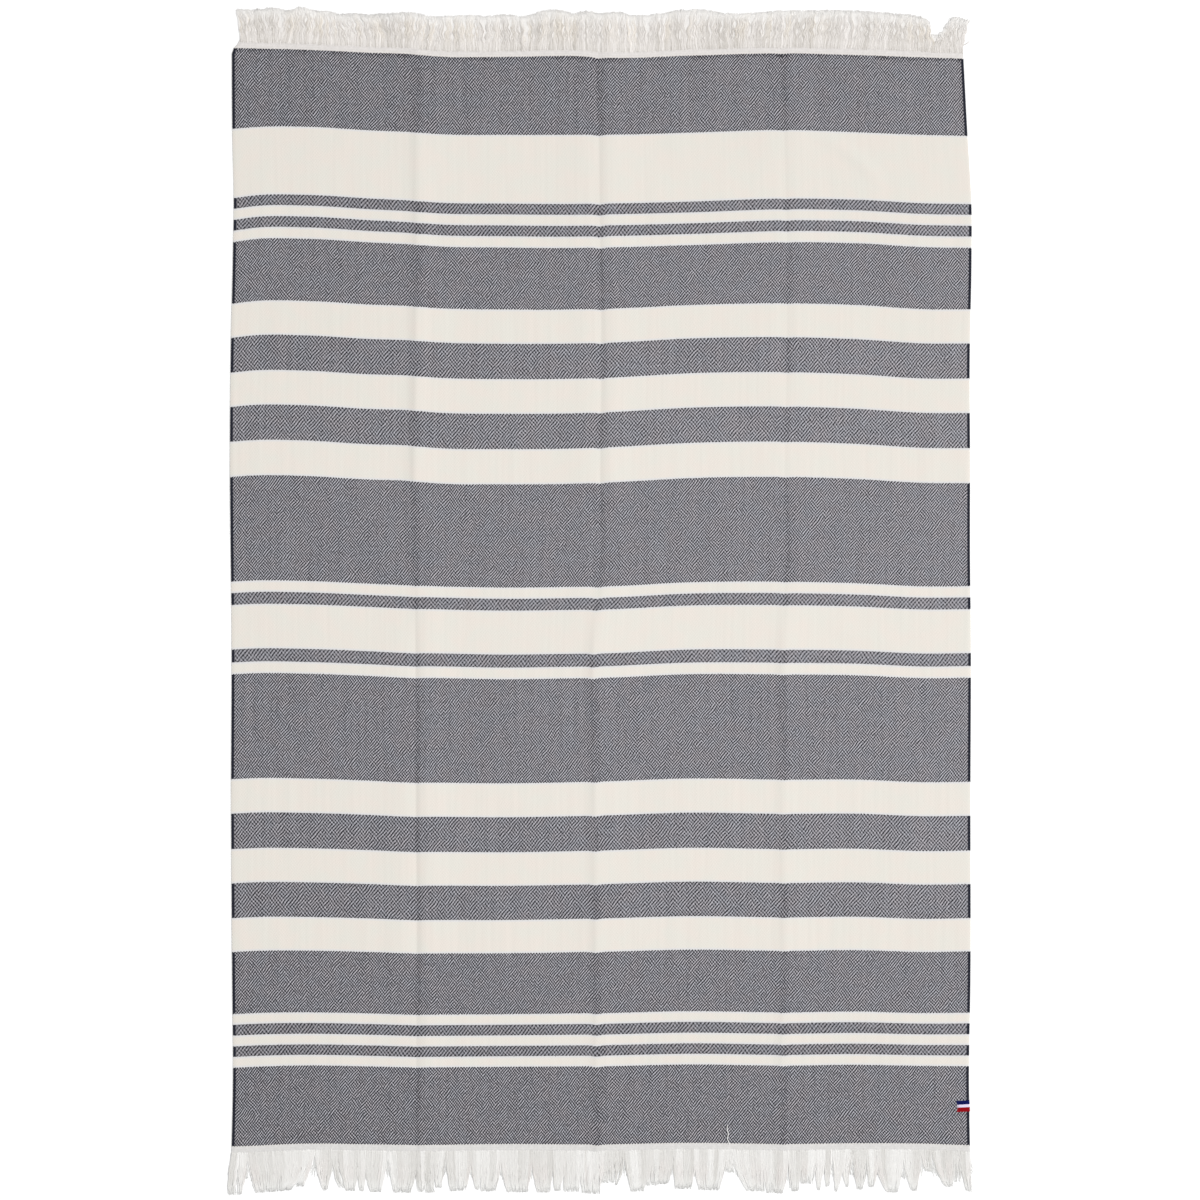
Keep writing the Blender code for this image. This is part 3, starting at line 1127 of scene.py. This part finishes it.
    def rows(self) -> tuple[Array, Array, Array]:
        """Distances down of the mesh's rows, with one on each band's edge and middle.

        Returns:
            The distances. At each the signed distance to the nearest change of weft, which
            is positive in a charcoal band. At each how narrow a charcoal band is: 1 up to
            narrow_width, and 0 from twice that on.
        """
        downs, edges, narrow = [0.0], [-self.bands[0]], [0.0]
        for number, width in enumerate(self.bands):
            weft = Weft.CHARCOAL if number % 2 else Weft.CREAM
            steps = 2 * max(1, int(np.ceil(width / 2 / self.row_step)))
            share = np.arange(1, steps + 1) / steps
            depth = width * np.minimum(share, 1 - share)
            if number == 0:
                depth = width * (1 - share)
            if number == len(self.bands) - 1:
                depth = width * share
            downs.extend(downs[-1] + width * share)
            edges.extend(weft.value * depth)
            thin = float(np.clip(2 - width / self.narrow_width, 0, 1))
            thin = thin if weft is Weft.CHARCOAL else 0.0
            narrow[-1] = max(narrow[-1], thin)
            narrow.extend([thin] * steps)
        return np.array(downs), np.array(edges), np.array(narrow)

    def build(self) -> Piece:
        """Builds the cloth as a closed sheet: upper face, underside and four rims.

        Returns:
            The cloth.
        """
        places = self.columns()
        downs, edges, narrow = self.rows()
        count = len(downs), len(places)
        place = np.tile(places, count[0])
        down = np.repeat(downs, count[1])
        across = place * self.panel_width
        plan = np.stack((across, down), -1) * MM
        width = self.panels * self.panel_width
        bake = np.stack((across / width, 1 - down / self.length), -1)
        narrow = np.repeat(narrow, count[1])
        values = {
            "BandEdge": np.repeat(edges, count[1]),
            "SelvedgeEdge": width / 2 - np.abs(across - width / 2),
            "EndEdge": self.length / 2 - np.abs(down - self.length / 2),
            # The warp's share carries painted light and the painted shade of the pressed folds.
            "Openness": self.openness(place, down) + self.narrow_gain * np.sqrt(narrow),
            "Narrow": narrow,
        }
        high, low = self.top(place, down), self.underside(place, down)
        return put_sheet("towel_cloth", high, low, count, ("ClothPlan", plan), bake, values)

    def dress(self, cloth: Piece, finish: StripedCotton) -> None:
        """Gives the cloth its finish and its place in the frame.

        Args:
            cloth: The cloth.
            finish: Its finish.
        """
        cloth.data.materials.append(finish.material())
        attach(cloth, "root")
        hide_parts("cloth")


# ---------------------------------------------------------------- the fringes


STUB_REACH = 35.0


class Tuft(NamedTuple):
    """One tuft of a fringe, counted from the left.

    Its strands leave the cloth between the last tuft's root_end and its own, and end
    between tip_left and tip_right, all X. It reaches reach beyond the cloth, and is a
    stub if that is less than STUB_REACH. It bows sideways by bow at its middle, and
    fullness is the share of its strands that is left.
    """

    root_end: float
    tip_left: float
    tip_right: float
    reach: float
    fullness: float = 1.0
    bow: float = 0.0


@dataclass
class Fringe:
    """The loose warp ends beyond one end of the cloth.

    Strands spread from their roots to their tips with the power spread_power of the way
    along. A lock is lock_width wide, draws in by the share lock_gather, and leans by about
    lock_lean. A tuft bows by about bow_spread more. Strands wave by wave with their lock,
    and by own_wave on their own, and heap is how high they may lie. Within mixing of the
    line between two tufts, a strand may join either. Reaches differ by up to tip_spread,
    and the veil's are the shares veil_reach of the outline. shade_mix is how far a
    strand's shade differs from its lock's.
    """

    name: str
    node: str
    end_down: float
    away: int
    seed: int
    tufts: tuple[Tuft, ...]
    even_reach: bool
    spread_power: float
    lock_width: float
    lock_gather: float
    lock_lean: float
    bow_spread: float
    wave: float
    own_wave: float
    mixing: float
    shade_mix: float
    tip_spread: float
    heap: float
    veil_reach: tuple[float, float]
    strands: int = 1950
    rings: int = 13
    sides: int = 4
    radius: float = 0.5
    wave_length: float = 18.0
    own_wave_length: float = 11.0
    root_inset: float = 5.5
    bake_columns: int = 46
    veil_strands: int = 2000
    veil_rings: int = 7
    veil_radius: float = 0.4
    veil_height: float = 0.42
    veil_wave: float = 0.6
    veil_wave_length: float = 19.0

    def root_points(self, cloth: Cloth, spread: Array) -> Array:
        """Points of the cloth's end where strands leave it, at shares of its width."""
        return cloth.underside(cloth.panels * spread, np.full(len(spread), self.end_down))

    def outline(self, x: Array) -> Array:
        """How far the fringe reaches: a smooth curve through its full tufts' tips.

        Args:
            x: X of the tips.

        Returns:
            The reach at each.
        """
        base = np.array(self.tufts)
        full = base[:, 3] > STUB_REACH
        middle = base[full, 1:3].mean(1)
        return smooth_curve(middle, base[full, 3], np.clip(x, middle[0], middle[-1]))

    def build(self, cloth: Cloth) -> Piece:
        """Builds the tufts' strands as one object.

        Each strand runs from its root to its tip. Strands are gathered in narrow locks,
        and a lock leans, waves and lies high or low as one, while a strand's own wave and
        height are smaller. Where two tufts meet, their strands mix.

        Args:
            cloth: The cloth that the fringe is part of.

        Returns:
            The tufts.
        """
        draw = np.random.default_rng(self.seed)
        count = self.strands
        spread = (np.arange(count) + draw.uniform(0.1, 0.9, count)) / count
        root = self.root_points(cloth, spread)
        base = np.array(self.tufts)
        start = np.concatenate(([root[0, 0]], base[:-1, 0]))
        mixed = root[:, 0] + self.mixing * draw.uniform(-1, 1, count)
        tuft = np.minimum(np.searchsorted(base[:, 0], mixed), len(base) - 1)
        share = np.clip((mixed - start[tuft]) / (base[tuft, 0] - start[tuft]), 0, 1)
        tip = base[tuft, 1] + share * (base[tuft, 2] - base[tuft, 1])

        width = cloth.panels * cloth.panel_width
        lock_count = int(width / self.lock_width)
        jitter = draw.uniform(-0.35, 0.35, lock_count - 1)
        bounds = np.concatenate(([0.0], (np.arange(1, lock_count) + jitter) / lock_count, [1.0]))
        lock = np.searchsorted(bounds, spread) - 1
        lock_size = bounds[lock + 1] - bounds[lock]
        lock_off = (spread - bounds[lock] - lock_size / 2) * width
        lean = self.lock_lean * draw.normal(0, 1, lock_count)[lock]
        phase = draw.uniform(0, 1, lock_count)[lock]
        turns = draw.uniform(0.7, 1.4, lock_count)[lock] / self.wave_length
        lock_high = draw.uniform(0, 1, lock_count)[lock]
        lock_shade = draw.uniform(0, 1, lock_count)[lock]
        lock_tint = np.maximum(draw.uniform(-1, 1, lock_count), 0)[lock]

        reach = base[tuft, 3]
        if self.even_reach:
            outline = self.outline(tip)
            reach = np.where(reach < STUB_REACH, reach, outline)
        reach = reach - self.tip_spread * draw.uniform(0, 1, count) ** 2
        short = draw.uniform(0, 1, count) > base[tuft, 4]
        reach = np.where(short, reach * draw.uniform(0.35, 0.8, count), reach)

        s = np.linspace(0, 1, self.rings)[None, :] ** 1.2
        loose = smooth_step(0, 0.35, s)
        along = reach[:, None] * s
        x = root[:, :1] + (tip - root[:, 0])[:, None] * s**self.spread_power
        bow = base[tuft, 5] + self.bow_spread * draw.normal(0, 1, len(base))[tuft]
        x = x + bow[:, None] * 4 * s * (1 - s)
        x = x - self.lock_gather * lock_off[:, None] * s**1.2
        x = x + lean[:, None] * s**1.6
        swing = np.sin(TURN * (along * turns[:, None] + phase[:, None]))
        x = x + self.wave * loose * swing
        own_turns = draw.uniform(0.8, 1.5, count)[:, None] / self.own_wave_length
        own_phase = draw.uniform(0, 1, count)[:, None]
        own = np.sin(TURN * (along * own_turns + own_phase))
        x = x + self.own_wave * loose * own
        inset = self.root_inset * draw.uniform(0.6, 1.0, count)[:, None]
        out = along - inset * (1 - smooth_step(0, 0.2, s))
        y = root[:, 1:2] + self.away * out
        high = draw.uniform(0, 1, count)[:, None]
        heap = self.heap * (0.65 * lock_high[:, None] + 0.35 * high)
        rest = self.radius + heap * np.sin(np.pi * np.clip(s * 0.9 + 0.05, 0, 1)) ** 0.8
        on_cloth = cloth.thickness * (0.5 + 0.5 * smooth_step(5, -4, out)) - 0.35 + 0.4 * high
        z = rest + (on_cloth - rest) * smooth_step(12, 0, out)
        z = z - 0.7 * smooth_step(0.05, 0, s)
        z = z + root[:, 2:3] * (1 - s) + 0.15 * loose * np.cos(TURN * (own_phase + s * 3))
        # No strand reaches below the surface that the towel lies on.
        z = np.maximum(z, self.radius * 1.22)

        lines = np.stack(np.broadcast_arrays(x, y, z), -1)
        thin = draw.uniform(0.8, 1.2, count)[:, None] * (1 - 0.6 * smooth_step(0.8, 1, s))
        # The shade picks a colour between deep and pale: partly the yarn's uneven tone, partly
        # painted shadow between locks and strands.
        shade = lock_shade + self.shade_mix * (draw.uniform(0, 1, count) - lock_shade)
        tint = 0.45 * lock_tint[:, None] * smooth_step(0, 0.5, s)
        values = {
            "Shade": np.broadcast_to(shade[:, None], x.shape),
            "Tint": tint,
            "TipShare": np.broadcast_to(s, x.shape),
        }
        radii = self.radius * thin
        return put_tubes(self.name, lines, radii, self.sides, self.bake_columns, values)

    def build_veil(self, cloth: Cloth) -> Piece:
        """Builds the finest warp ends, which lie flat and evenly under the tufts.

        They end on the line through the tufts' tips, or on a share of it, and are as short
        as the tuft above them where that is a stub.

        Args:
            cloth: The cloth that the fringe is part of.

        Returns:
            The veil.
        """
        draw = np.random.default_rng(self.seed + 1)
        count = self.veil_strands
        spread = (np.arange(count) + draw.uniform(0.3, 0.7, count)) / count
        root = self.root_points(cloth, spread)
        base = np.array(self.tufts)
        start = np.concatenate(([root[0, 0]], base[:-1, 0]))
        middle = (start + base[:, 0]) / 2
        tip = smooth_curve(middle, base[:, 1:3].mean(1), np.clip(root[:, 0], middle[0], middle[-1]))
        tip = np.where(root[:, 0] < middle[0], root[:, 0] + tip - middle[0], tip)
        tip = np.where(root[:, 0] > middle[-1], root[:, 0] + tip - middle[-1], tip)
        reach = self.outline(tip) * draw.uniform(*self.veil_reach, count)
        for stub in base[base[:, 3] < STUB_REACH]:
            over = (tip > stub[1] - 2) & (tip < stub[2] + 2)
            reach = np.where(over, np.minimum(reach, stub[3]), reach)
        s = np.linspace(0, 1, self.veil_rings)[None, :]
        along = reach[:, None] * s
        phase = root[:, :1] / 23
        x = root[:, :1] + (tip - root[:, 0])[:, None] * s**self.spread_power
        swing = np.sin(TURN * (along / self.veil_wave_length + phase))
        x = x + self.veil_wave * smooth_step(0, 0.3, s) * swing
        inset = self.root_inset * (1 - smooth_step(0, 0.2, s))
        y = root[:, 1:2] + self.away * (along - inset)
        uneven = 0.2 * draw.uniform(0, 1, count)[:, None] * (1 - s)
        z = self.veil_height + root[:, 2:3] * (1 - s) + uneven
        lines = np.stack(np.broadcast_arrays(x, y, z), -1)
        radii = self.veil_radius * (1 - 0.15 * s**4) * np.ones((count, 1))
        values = {
            "Shade": np.full(x.shape, 0.8),
            "Tint": np.zeros(x.shape),
            "TipShare": np.broadcast_to(0.6 + 0.4 * s, x.shape),
        }
        return put_tubes(self.name + "_veil", lines, radii, self.sides, self.bake_columns, values)

    def dress(self, tufts: Piece, veil: Piece, material: Material) -> None:
        """Gives the fringe its finish and its place in the frame.

        Args:
            tufts: The tufts.
            veil: The veil under them.
            material: The yarn's material.
        """
        for piece in (tufts, veil):
            piece.data.materials.append(material)
            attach(piece, "root")
        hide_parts(self.node)


TOP_TUFTS = (
    Tuft(-470, -491, -477, 42.5), Tuft(-451, -477, -457, 42.5), Tuft(-433, -457, -431, 46.5),
    Tuft(-416, -431, -411, 43), Tuft(-397, -411, -393, 48), Tuft(-376, -393, -376, 43.5),
    Tuft(-351, -376, -359, 44), Tuft(-335, -359, -343, 41), Tuft(-313, -343, -324, 43),
    Tuft(-291, -324, -302, 42.5), Tuft(-267, -302, -268, 45), Tuft(-243, -268, -237, 47),
    Tuft(-216, -235, -214, 44, 0.55), Tuft(-191, -214, -194, 46), Tuft(-167, -194, -167, 47.5),
    Tuft(-140, -167, -137, 46), Tuft(-104, -137, -104, 47.5), Tuft(-96, -103, -98, 45, 0.45),
    Tuft(-69, -97, -66, 50.5), Tuft(-39, -66, -39, 52.5), Tuft(-30, -39, -31, 48, 0.5),
    Tuft(-4, -30, -4, 52.5), Tuft(18, -4, 15, 51), Tuft(39, 15, 38, 53),
    Tuft(47, 39, 46, 49, 0.6), Tuft(77, 46, 80, 48.5), Tuft(99, 80, 98, 50),
    Tuft(123, 98, 126, 52.5), Tuft(153, 126, 156, 52.5), Tuft(186, 156, 188, 46.5),
    Tuft(218, 188, 224, 46), Tuft(259, 224, 266, 48.5), Tuft(293, 266, 300, 49),
    Tuft(334, 300, 340, 50), Tuft(374, 340, 376, 50), Tuft(415, 376, 415, 48.5),
    Tuft(452, 415, 448, 46.5), Tuft(461, 451, 460, 21), Tuft(465, 460, 465, 25),
    Tuft(469, 465, 470, 31), Tuft(474, 470, 476, 38), Tuft(480, 476, 484, 45.5),
    Tuft(487, 484, 491, 46), Tuft(493, 492, 504, 43, 0.8),
)

BOTTOM_TUFTS = (
    Tuft(-487, -503, -492, 54.5, 1, -3), Tuft(-477, -492, -484, 54, 0.8),
    Tuft(-428, -465, -431, 52), Tuft(-398, -430, -418, 51.5), Tuft(-386, -410, -400, 47),
    Tuft(-360, -374, -369, 52, 0.6), Tuft(-352, -353, -343, 48), Tuft(-327, -343, -331, 52),
    Tuft(-315, -324, -319, 52), Tuft(-286, -310, -296, 53), Tuft(-250, -279, -255, 53.5),
    Tuft(-237, -245, -237, 52), Tuft(-221, -235, -222, 53.5), Tuft(-208, -221, -214, 47),
    Tuft(-173, -202, -180, 51.5), Tuft(-159, -167, -161, 50), Tuft(-134, -159, -140, 52.5),
    Tuft(-91, -126, -96, 54), Tuft(-64, -84, -66, 54), Tuft(-50, -60, -52, 52),
    Tuft(-26, -48, -27, 53), Tuft(2, -23, 1, 55), Tuft(22, 3, 20, 41),
    Tuft(33, 22, 24, 44, 0.3), Tuft(66, 43, 61, 53), Tuft(82, 65, 79, 45.5),
    Tuft(100, 80, 94, 44), Tuft(131, 104, 125, 51), Tuft(172, 136, 163, 52.5),
    Tuft(182, 172, 184, 28, 0.7), Tuft(212, 201, 212, 53), Tuft(225, 213, 224, 53),
    Tuft(255, 226, 250, 55), Tuft(274, 260, 270, 52.5), Tuft(294, 275, 290, 43),
    Tuft(305, 297, 300, 52, 0.8), Tuft(316, 309, 312, 47, 0.8), Tuft(330, 320, 323, 53.5, 0.8),
    Tuft(344, 336, 339, 48, 0.5), Tuft(362, 351, 357, 51, 0.8), Tuft(376, 366, 372, 48, 0.8),
    Tuft(412, 390, 404, 55), Tuft(438, 423, 430, 52.5, 0.8), Tuft(450, 444, 450, 26, 0.4),
    Tuft(480, 468, 479, 46), Tuft(491, 480, 497, 39, 0.7), Tuft(503, 498, 507, 51, 0.9),
)


# ---------------------------------------------------------------- ribbon and loose ends


@dataclass
class FlagRibbon:
    """The short ribbon that is folded over the right selvedge, with its stitches."""

    width: float = 15.0
    leaf: float = 17.3
    overhang: float = 0.5
    thickness: float = 0.35
    turn_deg: float = 3.0
    bend_steps: int = 14
    leaf_steps: int = 18
    width_steps: int = 16
    droop: float = 0.35
    hollow: float = 1.2
    ripple: float = 0.08
    stitch_inset: float = 2.6
    stitch_margin: float = 1.0
    stitch_radius: float = 0.18
    stitches: int = 6

    def middle(self, cloth: Cloth) -> Array:
        """The point of the selvedge, on the cloth's underside, that the ribbon goes round."""
        return cloth.underside(np.array([float(cloth.panels)]), np.array([cloth.tape_down]))[0]

    def profile(self, cloth: Cloth) -> Array:
        """The ribbon's middle line seen along the selvedge, from its lower end to its upper.

        Two level leaves are joined by a half circle that goes round the selvedge.

        Args:
            cloth: The cloth that it is folded over.

        Returns:
            (distance out from the selvedge, height) pairs.
        """
        low = self.thickness / 2 + 0.1
        high = cloth.tape_lift + cloth.thickness + self.thickness / 2 + 0.45
        radius = (high - low) / 2
        bend_out = self.overhang - radius
        turn = np.linspace(-np.pi / 2, np.pi / 2, self.bend_steps + 1)
        bend = np.stack((bend_out + radius * np.cos(turn), low + radius * (1 + np.sin(turn))), -1)
        out = np.linspace(-self.leaf, bend_out, self.leaf_steps + 1)[:-1]
        lower = np.stack((out, np.full_like(out, low)), -1)
        droop = self.droop * smooth_step(-self.leaf * 0.55, -self.leaf, out)
        upper = np.stack((out, high - droop), -1)
        return np.concatenate((lower, bend, upper[::-1]))

    def build(self, cloth: Cloth) -> Piece:
        """Builds the ribbon: its profile is carried across its width, on both faces.

        Args:
            cloth: The cloth that it is folded over.

        Returns:
            The ribbon.
        """
        profile = self.profile(cloth)
        across = np.linspace(0, 1, self.width_steps + 1)
        out = np.repeat(profile[:, 0], len(across))
        height = np.repeat(profile[:, 1], len(across))
        side = np.tile(across, len(profile))
        # The upper end is cut a little hollow, and the edges of the leaves ripple.
        step = np.repeat(np.arange(len(profile)), len(across))
        upper = step > len(profile) - self.leaf_steps
        hollow = self.hollow * (1 - (2 * side - 1) ** 2) * smooth_step(-8, -self.leaf, out)
        out = out + np.where(upper, hollow, 0)
        height = height + np.where(upper, self.ripple * np.sin(side * 17 + out / 2.3), 0)
        middle = self.middle(cloth)
        angle = np.radians(self.turn_deg)
        back = self.width * (0.5 - side)
        slope = np.gradient(profile, axis=0)
        slope *= self.thickness / 2 / np.hypot(*slope.T)[:, None]
        wall = np.repeat(np.stack((slope[:, 1], -slope[:, 0]), -1), len(across), axis=0)
        faces = []
        for way in (1, -1):
            far = out + way * wall[:, 0]
            x = middle[0] + far * np.cos(angle) - back * np.sin(angle)
            y = middle[1] + far * np.sin(angle) + back * np.cos(angle)
            faces.append(np.stack((x, y, height + way * wall[:, 1]), -1))
        steps = np.hypot(*np.diff(profile, axis=0).T)
        along = np.repeat(np.concatenate(([0], np.cumsum(steps))), len(across))
        plan = np.stack((along, side), -1)
        bake = np.stack((along / along.max(), side), -1)
        count = len(profile), len(across)
        return put_sheet("flag_ribbon", *faces, count, ("RibbonPlan", plan), bake, {})

    def build_stitches(self, cloth: Cloth) -> Piece:
        """Builds the row of stitches across the ribbon's upper end, as short humps.

        Args:
            cloth: The cloth that it is sewn to.

        Returns:
            The stitches.
        """
        middle = self.middle(cloth)
        top = self.profile(cloth)[-1, 1] + self.thickness / 2
        pitch = (self.width - 2 * self.stitch_margin) / self.stitches
        first = middle[1] - self.width / 2 + self.stitch_margin
        start = first + pitch * np.arange(self.stitches)
        s = np.linspace(0, 1, 7)
        y = start[:, None] + pitch * (0.12 + 0.76 * s)
        x = np.full_like(y, middle[0] - self.leaf + self.stitch_inset)
        z = top - 0.15 + 0.3 * np.sin(np.pi * s)[None, :] * np.ones_like(y)
        lines = np.stack((x, y, z), -1)
        radii = np.full(y.shape, self.stitch_radius)
        return put_tubes("ribbon_stitches", lines, radii, 6, 3, {})

    def dress(
        self, ribbon: Piece, stitches: Piece, finish: WovenRibbon, thread: SewingThread,
    ) -> None:
        """Gives the ribbon and its stitches their finishes and places in the frame.

        Args:
            ribbon: The ribbon.
            stitches: Its stitches.
            finish: The ribbon's finish.
            thread: The stitches' finish.
        """
        ribbon.data.materials.append(finish.material())
        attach(ribbon, "root")
        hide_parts("flag_tape")
        stitches.data.materials.append(thread.material())
        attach(stitches, "root")


@dataclass
class StrayYarn:
    """A loose white yarn end that lies on the lowest charcoal band, from the heading up."""

    place: float = 2.708
    start_down: float = 1490.0
    end_down: float = 1463.0
    radius: float = 0.55
    wave: float = 0.9
    waves: float = 2.1
    drift: float = 1.6
    arch: float = 0.5
    rings: int = 40

    def build(self, cloth: Cloth) -> Piece:
        """Builds the yarn as a wavy tube on the cloth's upper face.

        Args:
            cloth: The cloth that it lies on.

        Returns:
            The yarn.
        """
        s = np.linspace(0, 1, self.rings)
        down = self.start_down + (self.end_down - self.start_down) * s
        line = cloth.top(np.full(self.rings, self.place), down)
        swing = np.sin(TURN * self.waves * s + 0.6)
        line[:, 0] += self.wave * swing * (1 - 0.5 * s) - self.drift * s
        line[:, 2] += self.radius * 0.8 + self.arch * np.sin(np.pi * s) ** 2
        line[0, 2] -= self.radius
        radii = self.radius * (1 - 0.35 * s**6)[None, :]
        values = {
            "Shade": np.ones((1, self.rings)),
            "Tint": np.zeros((1, self.rings)),
            "TipShare": s[None, :] * 0.5 + 0.5,
        }
        return put_tubes("stray_yarn", line[None], radii, 8, 1, values)

    def dress(self, yarn: Piece, material: Material) -> None:
        """Gives the yarn its finish and its place in the frame.

        Args:
            yarn: The yarn.
            material: The yarn's material.
        """
        yarn.data.materials.append(material)
        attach(yarn, "root")


# ---------------------------------------------------------------- studio


@dataclass
class Studio:
    """The floor, the light and the camera straight above."""

    frame_width: float = 1627.2
    camera_x: float = 1.36
    camera_y: float = -0.68
    lens: float = 100.0
    sensor: float = 36.0
    floor_size: float = 24.0
    floor_gap: float = 0.05
    sky: float = 0.60
    sun: float = 2.15
    sun_height_deg: float = 38.0
    sun_turn_deg: float = 12.0
    sun_soft_deg: float = 22.0
    softbox: float = 12.0
    softbox_size: tuple[float, float] = (1.2, 1.6)
    softbox_place: tuple[float, float, float] = (0.45, -0.1, 2.2)

    def lay_floor(self, finish: PaperFloor) -> Piece:
        """Lays the floor just under the towel.

        Args:
            finish: The floor's finish.

        Returns:
            The floor.
        """
        half = self.floor_size / MM / 2
        z = -self.floor_gap
        corners = np.array([(-half, half, z), (-half, -half, z), (half, -half, z), (half, half, z)])
        floor = put_mesh("studio_floor", corners, [np.array([[0, 1, 2, 3]])], {})
        floor.data.materials.append(finish.material())
        return floor

    def light(self) -> None:
        """Sets an even sky, a soft sun from the right and a softbox above the right half."""
        scene = bpy.context.scene
        world = bpy.data.worlds.new("studio_sky")
        world.use_nodes = True
        background = world.node_tree.nodes["Background"]
        background.inputs["Color"].default_value = (1.0, 1.0, 1.0, 1.0)
        background.inputs["Strength"].default_value = self.sky
        scene.world = world
        sun = bpy.data.lights.new("window_sun", "SUN")
        sun.energy = self.sun
        sun.angle = np.radians(self.sun_soft_deg)
        turn = np.radians(90 - self.sun_height_deg), np.radians(self.sun_turn_deg)
        put_object("window_sun", sun).rotation_euler = (0, *turn)
        softbox = bpy.data.lights.new("softbox", "AREA")
        softbox.shape = "RECTANGLE"
        softbox.size, softbox.size_y = self.softbox_size
        softbox.energy = self.softbox
        softbox_object = put_object("softbox", softbox)
        softbox_object.location = self.softbox_place
        softbox_object.visible_camera = False
        scene.view_settings.view_transform = "Standard"
        scene.view_settings.look = "None"
        scene.view_settings.exposure = 0.0
        scene.view_settings.gamma = 1.0

    def place_camera(self) -> None:
        """Places the camera straight above the towel, at the photograph's framing."""
        camera = bpy.data.cameras.new("camera_above")
        camera.lens = self.lens
        camera.sensor_width = self.sensor
        camera.clip_end = 100.0
        camera_object = put_object("camera_above", camera)
        height = self.frame_width * self.lens / self.sensor
        camera_object.location = (self.camera_x * MM, self.camera_y * MM, height * MM)
        bpy.context.scene.camera = camera_object


# ---------------------------------------------------------------- the towel


def report(piece: Piece) -> None:
    """Logs a piece's name and its number of faces."""
    log.info("%s: %d faces", piece.name, len(piece.data.polygons))


def main() -> None:
    """Builds the towel's pieces in order, and then the studio round them."""
    logging.basicConfig(level=logging.INFO, format="%(name)s: %(message)s")
    studio = Studio()
    studio.place_camera()

    cloth = Cloth()
    cloth_piece = cloth.build()
    cloth.dress(cloth_piece, StripedCotton())
    report(cloth_piece)

    warm_yarn = LooseYarn(
        "undyed_two_ply_cotton", "#C2BDB6", "#F0ECE9", "#F1F0EE", "#EAE1D3"
    ).material()
    washed_yarn = LooseYarn(
        "washed_two_ply_cotton", "#D2D0CC", "#ECEBE9", "#E8E8E6", "#E2DCD9"
    ).material()
    fringes = (
        Fringe(
            "top_fringe", "fringe_top", 0.0, 1, 11, TOP_TUFTS, even_reach=True,
            spread_power=1.3, lock_width=6.0, lock_gather=0.25, lock_lean=3.0,
            bow_spread=1.6, wave=1.5, own_wave=0.6, mixing=3.0, shade_mix=0.75,
            tip_spread=6.0, heap=0.8, veil_reach=(0.94, 1.0),
        ),
        Fringe(
            "bottom_fringe", "fringe_bottom", cloth.length, -1, 23, BOTTOM_TUFTS,
            even_reach=False, spread_power=2.1, lock_width=8.0, lock_gather=0.0,
            lock_lean=0.5, bow_spread=1.5, wave=0.4, own_wave=0.08, mixing=2.0,
            shade_mix=0.3, tip_spread=5.0, heap=0.3, veil_reach=(0.3, 0.7), radius=0.6,
        ),
    )
    for fringe, yarn in zip(fringes, (warm_yarn, washed_yarn), strict=True):
        tufts, veil = fringe.build(cloth), fringe.build_veil(cloth)
        fringe.dress(tufts, veil, yarn)
        report(tufts)
        report(veil)

    ribbon = FlagRibbon()
    ribbon_piece = ribbon.build(cloth)
    stitch_piece = ribbon.build_stitches(cloth)
    ribbon.dress(ribbon_piece, stitch_piece, WovenRibbon(), SewingThread())
    report(ribbon_piece)
    report(stitch_piece)

    stray = StrayYarn()
    stray_piece = stray.build(cloth)
    stray.dress(stray_piece, washed_yarn)
    report(stray_piece)

    studio.lay_floor(PaperFloor())
    studio.light()


if __name__ == "__main__":
    main()
